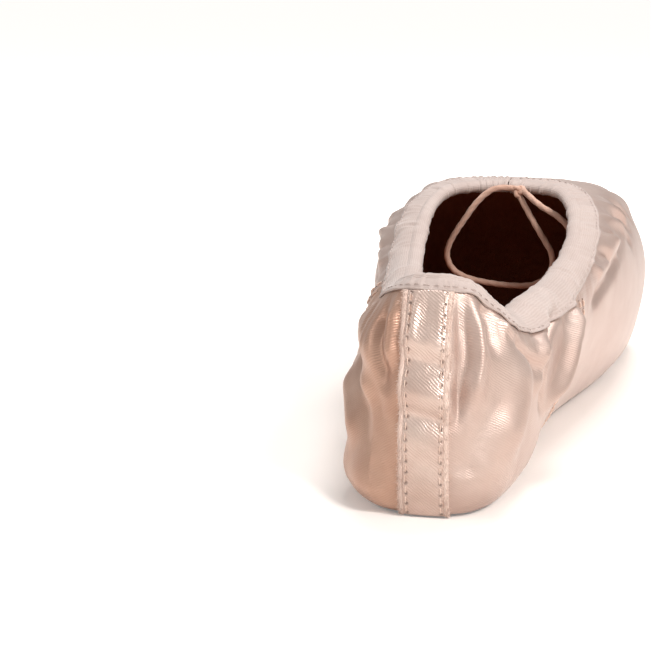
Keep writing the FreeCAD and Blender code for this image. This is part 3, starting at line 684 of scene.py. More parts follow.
# %% The strip's folded edges
def edge_bead(name, side):
    """A soft ridge: a half-round section along the strip whose height wavers, with its foot in the satin."""
    across = np.linspace(0.0, 1.0, 13)
    u, v = strip_grid(side * (STRIP_HALF - 0.25 + STRIP_FOLD * across), 300)
    flat = cloth_mm(u, v, 6)
    waver = soft_noise(flat[..., 1], flat[..., 0] + 40.0 * side, 1.6, 12)
    waver = waver + 0.7 * soft_noise(flat[..., 1], flat[..., 0], 0.6, 13)
    arch = np.sqrt(np.clip(1.0 - (2.0 * across[:, None] - 1.0) ** 2, 0.0, 1.0))
    outer = layer(u, v, -GLUE - (0.75 + 0.12 * waver) * arch)
    inner = layer(u, v, -GLUE * 0.5)
    rows = slice(None) if side > 0 else slice(None, None, -1)
    piece = shell_piece(name, outer[rows], inner[rows], flat[rows])
    return ride_on(piece, "heel", "heel_tape", name)


beads = [edge_bead("heel_strip_fold_right", 1), edge_bead("heel_strip_fold_left", -1)]
print("folded edges", [bead.name for bead in beads])

# %% The frayed fibres
FIBRES = 1500                                   # along each edge


def fibre_mesh(name, roots, lean, out, count, seed):
    """Short hairs: each is a thin four-sided spike, root + way x t + drop x t^2, from a point on the bead."""
    rng = np.random.default_rng(seed)
    pick = rng.integers(0, len(roots), count)
    root, n, side = roots[pick], out[pick], lean[pick]
    way = n * rng.uniform(0.15, 1.0, (count, 1)) + side * rng.uniform(-0.2, 1.1, (count, 1))
    way += rng.normal(0.0, 0.55, (count, 3))
    way /= np.linalg.norm(way, axis=1, keepdims=True)
    long = rng.uniform(0.2, 0.7, (count, 1))
    drop = rng.normal(0.0, 0.35, (count, 3))
    first = np.cross(way, n + 0.01)
    first /= np.linalg.norm(first, axis=1, keepdims=True)
    second = np.cross(way, first)
    t = np.array([0.0, 0.5, 1.0])[:, None, None]
    thin = np.array([0.035, 0.028, 0.008])[:, None, None]
    steps, sides = 3, 4
    turn = np.arange(sides)[:, None] * np.pi / 2
    ring = np.cos(turn) * first[:, None, None] + np.sin(turn) * second[:, None, None]
    line = root[:, None, None] + (way * long)[:, None, None] * t + (drop * long)[:, None, None] * t ** 2
    points = (line + ring * thin).reshape(-1, 3)
    faces = tube_faces(steps, sides)[None] + np.arange(count)[:, None, None] * steps * sides
    return mesh_piece(name, points, faces.reshape(-1, 4), np.zeros((len(points), 2)))


fuzz = []
for word, side in (("right", 1), ("left", -1)):
    u, v = strip_grid(side * (STRIP_HALF + STRIP_FOLD * np.linspace(0.15, 0.75, 5)), 500)
    roots, out = layer(u, v, -GLUE - 0.65).reshape(-1, 3), normal(u, v).reshape(-1, 3)
    sideways = np.cross(np.array([0.0, 0.0, 1.0]), out) * side
    hairs = fibre_mesh("heel_strip_fray_" + word, roots, sideways, out, FIBRES, 20 + side)
    fuzz.append(ride_on(hairs, "heel", "heel_tape"))
print("frayed fibres", len(fuzz) * FIBRES)

# %% [markdown]
# ## Stitches
# A stitch is a short run of thread that dives into the cloth at both ends, so a row of small arched tubes
# looks right from every side, where a painted line would not. All the stitches of a row are one array:
# stitch, step along the stitch, and corner of the thread's section.

# %% Rows of stitches
THREAD_R = 0.18
STRIP_ROW, SEAM_ROW = 0.75, 1.6                 # from the strip's edge and from the side seam to the stitches
SINK = 0.42                                     # how far a stitch's ends dive below the cloth


def stitch_row(name, body, starts, ends, out, seed, *nodes, radius=THREAD_R):
    """An arched tube from each start to each end: the middle stands off the cloth and the ends dive below."""
    rng = np.random.default_rng(seed)
    count, steps, sides = len(starts), 9, 7
    starts = starts + rng.normal(0.0, 0.06, starts.shape)
    ends = ends + rng.normal(0.0, 0.06, ends.shape)
    t = np.linspace(0.0, 1.0, steps)
    off_middle = 2.0 * np.abs(t - 0.5)
    lift = radius * 1.15 * (1.0 - off_middle ** 3) - SINK * off_middle ** 4
    path = starts[:, None] + (ends - starts)[:, None] * (0.5 - 0.42 * np.cos(t * np.pi))[None, :, None]
    path = path + out[:, None] * lift[None, :, None]
    way = np.gradient(path, axis=1)
    way /= np.linalg.norm(way, axis=-1, keepdims=True)
    first = np.cross(way, np.broadcast_to(out[:, None], way.shape))
    first /= np.linalg.norm(first, axis=-1, keepdims=True)
    second = np.cross(way, first)
    turn = np.arange(sides) * 2 * np.pi / sides
    thick = radius * (1.0 - 0.18 * off_middle ** 2)
    ring = np.cos(turn)[:, None] * first[:, :, None] + np.sin(turn)[:, None] * second[:, :, None]
    points = path[:, :, None] + ring * thick[None, :, None, None]
    faces = tube_faces(steps, sides)[None] + np.arange(count)[:, None, None] * steps * sides
    flat = np.stack(np.broadcast_arrays(points[..., 0], turn * radius, t[:, None] * PITCH)[1:], -1)
    return ride_on(mesh_piece(name, points, faces.reshape(-1, 4), flat), body, "thread", *nodes)


# %% Places for stitches and holes
def row_points(u, v, depth, pitch=PITCH, cover=0.74):
    """Places of the stitches along a line on the cloth: each covers part of its pitch, then comes a gap."""
    line = layer(u, v, depth)
    run = np.concatenate([[0.0], np.cumsum(np.linalg.norm(np.diff(line, axis=0), axis=1))])
    at = np.arange(0.6 * pitch, run[-1] - pitch, pitch)
    place_at = lambda s: np.stack([np.interp(s, run, line[:, k]) for k in range(3)], -1)
    n = normal(u, v)
    out = np.stack([np.interp(at + pitch * cover / 2, run, n[:, k]) for k in range(3)], -1)
    return place_at(at), place_at(at + pitch * cover), out / np.linalg.norm(out, axis=1, keepdims=True)


def hole_row(name, body, row, wide=0.30):
    """A small pit where each stitch goes in and comes out: an eight-sided cup sunk in the cloth, later given a
    dark finish that paints the shade in the hole.
    """
    starts, ends, out = row
    centre, n = np.concatenate([starts, ends]), np.concatenate([out, out])
    first = np.concatenate([ends - starts] * 2)
    first = first / np.linalg.norm(first, axis=1, keepdims=True)
    second = np.cross(n, first)
    turn = np.arange(8) * np.pi / 4
    ring = np.cos(turn)[:, None] * first[:, None] + np.sin(turn)[:, None] * second[:, None]
    points = np.stack([centre[:, None] + ring * wide * size + n[:, None] * rise
                       for size, rise in ((0.8, 0.05), (1.0, 0.02), (0.6, -0.3))], 1)
    faces = tube_faces(3, 8)[None, :, ::-1] + np.arange(len(centre))[:, None, None] * 3 * 8
    cups = mesh_piece(name, points, faces.reshape(-1, 4), np.zeros((len(centre) * 3 * 8, 2)))
    return ride_on(cups, body, "thread")


# %% Rows on the heel strip and at the side seams
threads, needle_holes = [], []
for word, side in (("right", 1), ("left", -1)):
    u, v = strip_grid([side * (STRIP_HALF - STRIP_ROW)], 400)
    name = "heel_strip_stitching_" + word
    threads.append(stitch_row(name, "heel", *row_points(u[0], v[0], -GLUE - TAPE - 0.2), 31, name))
for word, seam in (("right", SEAM_RIGHT), ("left", SEAM_LEFT)):
    for part, toward in (("vamp", 1), ("quarter", -1)):
        way = toward if word == "right" else -toward
        v = np.linspace(1.1, v_below(np.array([seam]), np.array([8.5]))[0, 0], 240)
        pace = np.linalg.norm(base(seam + 0.01, v) - base(seam - 0.01, v), axis=-1) / 0.02
        u = seam + way * SEAM_ROW / pace
        name = "side_seam_stitching_" + word + "_" + part
        row = row_points(u, v, 0.0)
        threads.append(stitch_row(name, "both", *row, 41, name, radius=0.27))
        needle_holes.append(hole_row("needle_holes_" + word + "_" + part, "both", row))
print("stitch rows", len(threads))

# %% [markdown]
# ## The drawstring casing
# A ribbed tape is folded over the rim to make a tunnel for the drawstring. Where the cord is pulled up, the
# tape gathers: narrow ridges run across it, most of them at the throat. Its section is a U that hangs on
# both sides of the rim, so each place round the rim carries the same U, puckered by its own amount.

# %% Casing
BINDING_INSIDE, EASE, RISE = 7.0, 0.25, 1.6
ROOM_WIDE, ROOM_TALL = CORD_R + 0.4, CORD_R + 0.5
OUTSIDE, OVER = 6 / 16, 10 / 16                 # shares of the tape's width: outside, and up to over the cord
GAP_U = 0.05                                    # half the gap between the casing's ends at the throat


def pucker(u, t):
    """Outward gathers in mm: noise stretched across the tape, stronger near the throat, flat at the hems."""
    x, _ = flat_place(u, TOP_OF_WALL)
    near_throat = np.exp(-(((u % AROUND) - TOE) / 1.6) ** 2)
    fine = soft_noise(x + 2.0 * np.sin(7.0 * t), 6.0 * t, 2.3, 51) + 0.6 * soft_noise(x, 4.0 * t, 1.1, 52)
    wide = soft_noise(x + 1.5 * t, 3.0 * t, 6.5, 53)
    press = 0.35 + 0.65 * smooth(np.minimum(t, 1.0 - t) / 0.12)
    return np.clip((0.30 + 0.45 * near_throat) * fine + 0.30 * wide, -0.12, 1.2) * press + 0.15


def rim_frame(u):
    """The rim's point, its way out of the cloth and its way up."""
    rim = layer(u, TOP, 0.0)
    up = rim - layer(u, TOP - 0.05, 0.0)
    up /= np.linalg.norm(up, axis=-1, keepdims=True)
    return rim, normal(u, TOP), up


def casing_grid(u, t, out):
    """The U at each place: t below OUTSIDE hangs outside, above OVER inside, between goes over the cord."""
    drop = np.where(t < OUTSIDE, outside_drop(u[:, None]) * (1.0 - t / OUTSIDE), 0.0)
    drop = np.where(t > OVER, BINDING_INSIDE * (t - OVER) / (1.0 - OVER), drop)
    v = v_below(u, drop)
    uu = np.broadcast_to(u[:, None], v.shape)
    puff = pucker(uu, t)
    outer = layer(uu, v, -GLUE - out - puff)
    inner = layer(uu, v, LINED + box_wall(uu, v) + EASE + out, loose=False)
    rim, n, up = rim_frame(u)
    turn = np.pi * np.clip((t - OUTSIDE) / (OVER - OUTSIDE), 0.0, 1.0)
    across = -np.cos(turn) * (ROOM_WIDE + out + puff * 0.5)
    rise = np.sin(turn) * (RISE + ROOM_TALL + out + puff)
    cap = rim[:, None] - n[:, None] * (LINED / 2 + across)[..., None] + up[:, None] * rise[..., None]
    return np.where((t < OUTSIDE)[None, :, None], outer, np.where((t > OVER)[None, :, None], inner, cap))


# %% Casing, drawstring and their stitches
u = np.linspace(TOE + GAP_U, TOE + AROUND - GAP_U, 900)
t = np.linspace(0.0, 1.0, 46)
outer, inner = casing_grid(u, t, TAPE), casing_grid(u, t, 0.0)
flat = np.stack(np.broadcast_arrays(run_along(outer[:, 8:9], 0), run_along(outer, 1)[300:301]), -1)
binding = shell_piece("binding", outer[:, ::-1], inner[:, ::-1], flat[:, ::-1])
ride_on(binding, "both", "casing", "binding")

u = np.linspace(TOE + 2 * GAP_U, TOE + AROUND - 2 * GAP_U, 700)
rim, n, up = rim_frame(u)
cord_path = rim - n * (LINED / 2) + up * RISE
drawstring = mesh_piece(
    "drawstring", tube_points(cord_path, CORD_R * 0.96, 12, up), tube_faces(700, 12), np.zeros((700 * 12, 2)))
ride_on(drawstring, "both", "cord", "drawstring")

HEM = 1.1                                       # from the casing's outer edge up to its row of stitches
HEM_PITCH, HEM_THREAD = 2.4, 0.13
u = np.linspace(TOE + 4 * GAP_U, TOE + AROUND - 4 * GAP_U, 1600)
v = v_below(u, outside_drop(u)[:, None] - HEM)[:, 0]
off = pucker(u, OUTSIDE * HEM / outside_drop(u))
row = row_points(u, v, -GLUE - TAPE - off, HEM_PITCH)
binding_stitching = stitch_row("binding_stitching", "both", *row, 61, "binding_stitching", radius=HEM_THREAD)
print("casing", round(float(flat[-1, 0, 0])), "mm round the opening")

# %% [markdown]
# ## The sole, the shank and the sock
# Under the foot lie the leather sole, the insole card, the stiff shank, a felt filler and a cloth sock.
# They cross the place where the shank bends, so each is a grid that is fine along the slipper and can bend
# smoothly there. A plate is worked out from its outline: at each distance from the heel, the columns spread
# from side to side.

# %% Plates
def rounded_plate(name, body, slot, outline, z, thick, edge, rows=260, columns=44):
    """A plate between the outline's left and right edge, rounded over by edge at its rim, top and bottom."""
    order = np.argsort(outline[:, 1])
    y_low, y_high = outline[order[0], 1], outline[order[-1], 1]
    s = 0.5 - 0.5 * np.cos(np.linspace(0.03, np.pi - 0.03, rows))
    y = y_low + (y_high - y_low) * s
    middle = np.interp(y, [y_low, y_high], [outline[order[0], 0], outline[order[-1], 0]])
    sides = []
    for sign in (-1, 1):
        on_side = outline[sign * (outline[:, 0] - np.interp(outline[:, 1], y, middle)) > -1e-6]
        on_side = on_side[np.argsort(on_side[:, 1])]
        sides.append(np.interp(y, on_side[:, 1], on_side[:, 0]))
    t = np.sin(np.linspace(-np.pi / 2, np.pi / 2, columns))[None]
    left, right = sides[0][:, None], sides[1][:, None]
    x = (left + right) / 2 + (right - left) / 2 * t
    yy = np.broadcast_to(y[:, None], x.shape)
    to_edge = np.minimum(np.minimum(x - left, right - x), np.minimum(yy - y_low, y_high - yy))
    from_flat = 1.0 - np.clip(to_edge / edge, 0.0, 1.0)
    round_off = edge * (1.0 - np.sqrt(np.clip(1.0 - from_flat ** 2, 0.0, 1.0)))
    top = np.stack([x, yy, z + thick - round_off], -1)
    under = np.stack([x, yy, z + np.minimum(round_off, thick / 2)], -1)
    return ride_on(shell_piece(name, top, under, np.stack([x, yy], -1)), body, slot, name)


def inside_outline(z, clear):
    """The room inside the linings at a height: for each u, the v where the lining stands that high."""
    u = np.arange(0.0, AROUND, 0.125)
    v = np.linspace(1.0, 2.8, 90)
    depth = LINED + GLUE + box_wall(u[:, None], v) + clear
    wall = base(u[:, None], v) - normal(u[:, None], v) * depth[..., None]
    at = read_back(wall[..., 2], v, np.full((len(u), 1), z))[:, 0]
    return base(u, at) - normal(u, at) * (LINED + GLUE + box_wall(u, at) + clear)[:, None]


def bar_outline(half, y_low, y_high):
    """A long bar with half-round ends."""
    turn = np.linspace(0.0, np.pi, 40)
    far = np.stack([half * np.cos(turn), HEEL_Y + y_high - half + half * np.sin(turn)], -1)
    near = np.stack([half * np.cos(turn), HEEL_Y + y_low + half - half * np.sin(turn)], -1)
    return np.vstack([far, near])


# %% Sole, board, shank, filler, sock and pad
BOARD, SHANK, SOCK, PAD = 1.2, 2.2, 0.8, 1.4    # thicknesses
SHANK_HALF, SHANK_START, SHANK_END = 13.0, 9.0, 160.0
FILLER_HALF, FILLER_START, FILLER_END = 4.5, 42.0, 128.0
SOLE_INSET, TIP_INSET, TIP_RUN = 6.2, 5.0, 30.0
PAD_END, PAD_CAP = 56.0, 6.0                    # where the pad's sides end, and the height of its round front
BOARD_Z = OUTSOLE_THICK + PLEATS + SATIN + 2 * GLUE
SHANK_Z = BOARD_Z + BOARD + GLUE
SOCK_Z = SHANK_Z + SHANK + GLUE
PAD_Z = SOCK_Z + SOCK + GLUE

edge_line = base(np.arange(0.0, AROUND, 0.1), 1.0)
into = np.stack([-np.gradient(edge_line[:, 1]), np.gradient(edge_line[:, 0])], -1)
into /= np.linalg.norm(into, axis=1, keepdims=True)
tip = smooth((edge_line[:, 1] - (HEEL_Y + LENGTH - TIP_RUN)) / TIP_RUN)[:, None]
sole_line = edge_line[:, :2] + into * (SOLE_INSET + TIP_INSET * tip)
board_line = inside_outline(BOARD_Z + 0.5, 0.4)
sock_line = inside_outline(SOCK_Z + 0.4, 0.5)
shank_line = bar_outline(SHANK_HALF, SHANK_START, SHANK_END)
filler_line = bar_outline(FILLER_HALF, FILLER_START, FILLER_END)
pad_line = inside_outline(SOCK_Z + 1.6, 1.5)
pad_line = pad_line[pad_line[:, 1] < HEEL_Y + PAD_END]
cap_turn = np.linspace(0.0, np.pi, 30)
half = float(np.abs(pad_line[:, 0]).max())
pad_cap = np.stack([half * np.cos(cap_turn), HEEL_Y + PAD_END + PAD_CAP * np.sin(cap_turn)], -1)
pad_line = np.vstack([pad_line[:, :2], pad_cap])

outsole = rounded_plate("outsole", "both", "sole_leather", sole_line, 0.0, OUTSOLE_THICK, 0.7)
board = rounded_plate("insole_board", "both", "insole_card", board_line, BOARD_Z, BOARD, 0.3)
shank = rounded_plate("shank", "both", "shank_board", shank_line, SHANK_Z, SHANK, 0.6)
filler = rounded_plate("arch_filler", "both", "felt", filler_line, OUTSOLE_THICK + GLUE, PLEATS + SATIN, 0.8)
sock = rounded_plate("sock_liner", "both", "sock_cloth", sock_line, SOCK_Z, SOCK, 0.35)
heel_pad = rounded_plate("heel_pad", "heel", "felt", pad_line, PAD_Z, PAD, 0.7, rows=90)
print("sole", [round(float(c)) for c in np.ptp(sole_line, axis=0)], "mm wide and long")

# %% [markdown]
# ## Finishes
# Each finish is a material of its own, but they share two effects, built once as node groups. `weave` gives
# the height of a twill from each point's place on the flat cloth. `mottle` gives the slow cloudiness of
# handled cloth. The groups put out only values that change over the surface.

# %% Shared effects
def new_group(name, inputs, outputs):
    """A node group with its sockets: (name, type, default) for each input and a name for each output."""
    group = bpy.data.node_groups.new(name, "ShaderNodeTree")
    for label, kind, value in inputs:
        socket = group.interface.new_socket(label, in_out="INPUT", socket_type=kind)
        socket.default_value = value
    for label in outputs:
        group.interface.new_socket(label, in_out="OUTPUT", socket_type="NodeSocketFloat")
    return group, group.nodes.new("NodeGroupInput"), group.nodes.new("NodeGroupOutput")


def maths(tree, operation, a, b=None, c=None):
    """A Math node; a, b and c are sockets or numbers."""
    node = tree.nodes.new("ShaderNodeMath")
    node.operation = operation
    for socket, value in zip(node.inputs, (a, b, c)):
        if isinstance(value, bpy.types.NodeSocket):
            tree.links.new(value, socket)
        elif value is not None:
            socket.default_value = value
    return node.outputs[0]


def noise(tree, vector, scale, detail=3.0, rough=0.55):
    """A Noise texture at a scale in cells per unit."""
    node = tree.nodes.new("ShaderNodeTexNoise")
    tree.links.new(vector, node.inputs["Vector"])
    node.inputs["Scale"].default_value = scale
    node.inputs["Detail"].default_value = detail
    node.inputs["Roughness"].default_value = rough
    return node.outputs["Fac"]


VECTOR, VALUE = "NodeSocketVector", "NodeSocketFloat"

# %% Weave
# ribs = 1/2 + 1/2 cos(2 pi (x cos a + y sin a) / pitch), broken by beads where the crossing threads go over.
WEAVE_INPUTS = [
    ("Cloth", VECTOR, (0, 0, 0)), ("Pitch", VALUE, 0.6), ("Along", VALUE, 0.7), ("Across", VALUE, 0.7)]
weave, given, made = new_group("weave", WEAVE_INPUTS, ["Height", "Shade"])
sums = functools.partial(maths, weave)
cloth, pitch, cos_a, sin_a = (given.outputs[label] for label in ("Cloth", "Pitch", "Along", "Across"))
apart = weave.nodes.new("ShaderNodeSeparateXYZ")
weave.links.new(cloth, apart.inputs[0])
x, y = apart.outputs[0], apart.outputs[1]


def half_wave(turns):
    """1/2 + 1/2 cos(2 pi turns)."""
    return sums("MULTIPLY_ADD", sums("COSINE", sums("MULTIPLY", turns, 2 * math.pi)), 0.5, 0.5)


wobble = sums("MULTIPLY", noise(weave, cloth, 0.35, 2.0), 0.9)
slanted = sums("ADD", sums("MULTIPLY", x, cos_a), sums("MULTIPLY", y, sin_a))
phase = sums("DIVIDE", sums("ADD", slanted, wobble), pitch)
crossing = sums("DIVIDE", sums("SUBTRACT", sums("MULTIPLY", y, cos_a), sums("MULTIPLY", x, sin_a)), pitch)
ribs = half_wave(phase)
rib_beads = half_wave(sums("ADD", crossing, sums("MULTIPLY", phase, 0.5)))
mixed = sums("ADD", sums("MULTIPLY", ribs, 0.75), sums("MULTIPLY", sums("MULTIPLY", ribs, rib_beads), 0.25))
slub = sums("MULTIPLY_ADD", noise(weave, cloth, 1.3, 4.0), 0.6, 0.2)
weave.links.new(mixed, made.inputs["Height"])
weave.links.new(sums("MULTIPLY_ADD", mixed, 0.5, sums("MULTIPLY", slub, 0.5)), made.inputs["Shade"])
print("weave has", len(weave.nodes), "nodes")

# %% Mottle
# Two sizes of noise: a cloud pushed apart round one half, and specks.
MOTTLE_INPUTS = [("Place", VECTOR, (0, 0, 0)), ("Size", VALUE, 12.0)]
mottle, given, made = new_group("mottle", MOTTLE_INPUTS, ["Cloud", "Speck"])
scaled = mottle.nodes.new("ShaderNodeVectorMath")
scaled.operation = "SCALE"
mottle.links.new(given.outputs["Place"], scaled.inputs[0])
mottle.links.new(maths(mottle, "DIVIDE", 1.0, given.outputs["Size"]), scaled.inputs["Scale"])
off_half = maths(mottle, "SUBTRACT", noise(mottle, scaled.outputs[0], 1.0, 3.0), 0.5)
mottle.links.new(maths(mottle, "MULTIPLY_ADD", off_half, 2.2, 0.5), made.inputs["Cloud"])
mottle.links.new(noise(mottle, scaled.outputs[0], 14.0, 4.0, 0.7), made.inputs["Speck"])
print("groups", [group.name for group in bpy.data.node_groups])

# %% [markdown]
# ## One recipe for cloth
# Every cloth here is two colours mixed by its weave and by cloudiness, with a small bump from the weave.
# What makes satin satin is its narrow, bright sheen, and what makes tape tape is its deep rib and dull
# face, so those are the values that the recipe is called with.

# %% The cloth recipe
def colour(red, green, blue):
    """A colour from screen values 0 to 255 to the linear values that shaders use."""
    c = np.array([red, green, blue]) / 255.0
    return (*np.where(c <= 0.04045, c / 12.92, ((c + 0.055) / 1.055) ** 2.4), 1.0)


def place_on(tree, attribute):
    """The cloth's own millimetres, or the object's place turned into millimetres."""
    if attribute:
        node = tree.nodes.new("ShaderNodeAttribute")
        node.attribute_name = attribute
        return node.outputs["Vector"]
    where = tree.nodes.new("ShaderNodeTexCoord")
    node = tree.nodes.new("ShaderNodeVectorMath")
    node.operation = "SCALE"
    node.inputs["Scale"].default_value = 1000.0
    tree.links.new(where.outputs["Object"], node.inputs[0])
    return node.outputs[0]


def use_group(tree, group, **inputs):
    """A group node; each input is a socket or a number."""
    node = tree.nodes.new("ShaderNodeGroup")
    node.node_tree = group
    for label, value in inputs.items():
        if isinstance(value, bpy.types.NodeSocket):
            tree.links.new(value, node.inputs[label])
        else:
            node.inputs[label].default_value = value
    return node.outputs


def mix_colour(tree, factor, a, b):
    """A Mix node for colours; a and b are colours or sockets."""
    node = tree.nodes.new("ShaderNodeMix")
    node.data_type = "RGBA"
    tree.links.new(factor, node.inputs[0])
    for socket, value in ((node.inputs[6], a), (node.inputs[7], b)):
        if isinstance(value, bpy.types.NodeSocket):
            tree.links.new(value, socket)
        else:
            socket.default_value = value
    return node.outputs[2]


# %% Needle holes, and the whole recipe
HOLE_R, HOLE_PLACE = 0.62, 0.6                  # radius of a needle hole, and its place between two stitches
# The dark brown of each needle hole on the heel strip is painted shade.
HOLE_SHADE_COLOUR = colour(60, 34, 22)


def needle_pits(tree, here, line, step):
    """1 in the middle of each needle hole, 0 outside: holes a step apart along both sides of the middle."""
    sums = functools.partial(maths, tree)
    apart = tree.nodes.new("ShaderNodeSeparateXYZ")
    tree.links.new(here, apart.inputs[0])
    beside = sums("ABSOLUTE", sums("SUBTRACT", sums("ABSOLUTE", apart.outputs[0]), line))
    phase = sums("PINGPONG", sums("ADD", apart.outputs[1], HOLE_PLACE * step), step / 2)
    away = sums("SQRT", sums("ADD", sums("MULTIPLY", beside, beside), sums("MULTIPLY", phase, phase)))
    inside = sums("SUBTRACT", 1.0, sums("SMOOTH_MIN", sums("DIVIDE", away, HOLE_R), 1.0, 0.2))
    return sums("MAXIMUM", inside, 0.0)


def cloth_finish(name, dark, light, pitch, slant, depth, roughness, sheen, cloud=16.0, attribute="cloth",
                 soft=0.5, gloss=0.5, spread=0.12, holes=None, silk=0.0):
    """Weave and cloudiness between two colours, a bump as deep as the weave, and a sheen."""
    material = bpy.data.materials.new(name)
    material.use_nodes = True
    tree = material.node_tree
    sums = functools.partial(maths, tree)
    shader = tree.nodes["Principled BSDF"]
    here = place_on(tree, attribute)
    angle = math.radians(slant)
    woven = use_group(tree, weave, Cloth=here, Pitch=pitch, Along=math.cos(angle), Across=math.sin(angle))
    clouds = use_group(tree, mottle, Place=place_on(tree, None), Size=cloud)
    factor = sums("MULTIPLY_ADD", woven["Shade"], soft, sums("MULTIPLY", clouds["Cloud"], 1.0 - soft))
    tint = mix_colour(tree, sums("MINIMUM", sums("MAXIMUM", factor, 0.0), 1.0), colour(*dark), colour(*light))
    height = woven["Height"]
    if holes:
        pit = needle_pits(tree, here, *holes)
        # Each hole is tinted dark: painted shade; the dip in the height below is a real pit.
        tint = mix_colour(tree, sums("MULTIPLY", pit, 0.8), tint, HOLE_SHADE_COLOUR)
        height = sums("SUBTRACT", height, sums("MULTIPLY", pit, 3.0))
    tree.links.new(tint, shader.inputs["Base Color"])
    smoother = sums("MULTIPLY_ADD", woven["Height"], -spread, roughness)
    tree.links.new(sums("MULTIPLY_ADD", clouds["Speck"], spread * 2, smoother), shader.inputs["Roughness"])
    bump = tree.nodes.new("ShaderNodeBump")
    bump.inputs["Strength"].default_value = 1.0
    bump.inputs["Distance"].default_value = depth * MM
    tree.links.new(sums("ADD", height, sums("MULTIPLY", clouds["Speck"], 0.5)), bump.inputs["Height"])
    tree.links.new(bump.outputs["Normal"], shader.inputs["Normal"])
    shader.inputs["Specular IOR Level"].default_value = gloss
    shader.inputs["Metallic"].default_value = silk
    shader.inputs["Sheen Weight"].default_value = sheen
    shader.inputs["Sheen Roughness"].default_value = 0.4
    return material

# %% The cloths, boards and threads
# Two colours, the weave's pitch in mm, slant in degrees and depth in mm, then roughness, sheen and the rest.
SILK = dict(pitch=0.55, sheen=0.15, gloss=0.9, silk=0.62)
BOARD_LIKE = dict(attribute=None, sheen=0.0, soft=0.2, gloss=0.3)
YARN = dict(sheen=0.3, cloud=6.0, soft=0.5, gloss=0.4)
RECIPES = {
    "satin": dict(SILK, dark=(186, 156, 143), light=(218, 198, 188), slant=58.0, depth=0.045, roughness=0.41,
                  cloud=22.0, soft=0.35, spread=0.08),
    # The left quarter's satin is mixed darker and warmer than the right's, for the shade on the left: painted
    # shade.
    "satin_shaded_left": dict(SILK, dark=(176, 132, 110), light=(212, 178, 158), slant=122.0, depth=0.045,
                       roughness=0.38, cloud=22.0, soft=0.35, spread=0.08),
    # The vamp's satin is mixed a little lighter than the quarters', for the extra light on the toe: painted
    # light.
    "satin_vamp_lightened": dict(SILK, dark=(190, 160, 148), light=(220, 200, 190), pitch=0.5, slant=90.0, depth=0.03,
                       roughness=0.34, cloud=26.0, soft=0.3, spread=0.07),
    "heel_tape": dict(SILK, dark=(196, 164, 150), light=(230, 210, 199), pitch=0.62, slant=50.0, depth=0.06,
                      roughness=0.31, cloud=12.0, soft=0.45, holes=(STRIP_HALF - STRIP_ROW, PITCH), silk=0.6),
    "strip_edge": dict(dark=(214, 184, 170), light=(240, 220, 208), pitch=0.5, slant=20.0, depth=0.08,
                       roughness=0.7, sheen=0.4, cloud=6.0, gloss=0.3),
    "casing": dict(dark=(174, 154, 146), light=(204, 188, 181), pitch=0.62, slant=90.0, depth=0.05,
                   roughness=0.62, sheen=0.3, cloud=9.0, soft=0.6, gloss=0.35),
    # The lining's brown is darkened so that the inside of the slipper reads dark: part of its darkness is
    # painted shade.
    "lining": dict(dark=(148, 92, 66), light=(176, 118, 90), pitch=0.7, slant=45.0, depth=0.08,
                   roughness=0.85, sheen=0.0, soft=0.6, gloss=0.2),
    "toe_paste": dict(dark=(176, 150, 112), light=(206, 184, 148), pitch=1.6, slant=45.0, depth=0.2,
                      roughness=0.8, sheen=0.0, cloud=7.0, soft=0.4, gloss=0.3),
    "shank_board": dict(BOARD_LIKE, dark=(120, 86, 60), light=(156, 120, 88), pitch=0.9, slant=0.0,
                        depth=0.05, roughness=0.75, cloud=5.0),
    "insole_card": dict(BOARD_LIKE, dark=(172, 140, 106), light=(200, 172, 138), pitch=1.1, slant=30.0,
                        depth=0.04, roughness=0.8, cloud=6.0),
    "felt": dict(BOARD_LIKE, dark=(168, 132, 112), light=(208, 176, 156), pitch=0.9, slant=20.0, depth=0.12,
                 roughness=0.95, sheen=0.4, cloud=3.0, gloss=0.1),
    # The needle holes' cups are coloured dark brown: painted shade in each hole.
    "needle_hole_shade": dict(BOARD_LIKE, dark=(70, 42, 30), light=(104, 68, 50), pitch=0.3, slant=0.0, depth=0.02,
                        roughness=0.9, cloud=2.0, soft=0.5, gloss=0.1),
    "sock_cloth": dict(dark=(150, 104, 86), light=(184, 138, 116), pitch=0.8, slant=0.0, depth=0.08,
                       roughness=0.9, sheen=0.1, cloud=10.0, soft=0.6, gloss=0.2),
    "thread": dict(YARN, dark=(212, 180, 162), light=(238, 214, 200), pitch=0.45, slant=50.0, depth=0.05,
                   roughness=0.55),
    "cord": dict(YARN, dark=(190, 146, 126), light=(228, 190, 170), pitch=0.5, slant=35.0, depth=0.06,
                 roughness=0.65),
}
FINISHES = {name: cloth_finish(name, **recipe) for name, recipe in RECIPES.items()}
print("cloth finishes", len(FINISHES))

# %% [markdown]
# ## Leather and brass
# The sole is suede-finished leather: cell-like grain in its bump and a cloudy tone. The shank's nail is
# brass, dulled in fine specks of roughness. Neither has a weave, so each has a small recipe of its own.

# %% Leather
leather = bpy.data.materials.new("sole_leather")
leather.use_nodes = True
tree = leather.node_tree
shader = tree.nodes["Principled BSDF"]
here = place_on(tree, None)
clouds = use_group(tree, mottle, Place=here, Size=14.0)
cells = tree.nodes.new("ShaderNodeTexVoronoi")
cells.inputs["Scale"].default_value = 1.6
tree.links.new(here, cells.inputs["Vector"])
tint = mix_colour(tree, clouds["Cloud"], colour(176, 112, 78), colour(214, 150, 112))
tree.links.new(tint, shader.inputs["Base Color"])
bump = tree.nodes.new("ShaderNodeBump")
bump.inputs["Distance"].default_value = 0.12 * MM
tree.links.new(maths(tree, "ADD", cells.outputs["Distance"], clouds["Speck"]), bump.inputs["Height"])
tree.links.new(bump.outputs["Normal"], shader.inputs["Normal"])
tree.links.new(maths(tree, "MULTIPLY_ADD", clouds["Speck"], 0.2, 0.6), shader.inputs["Roughness"])
FINISHES["sole_leather"] = leather
print("leather has", len(tree.nodes), "nodes")

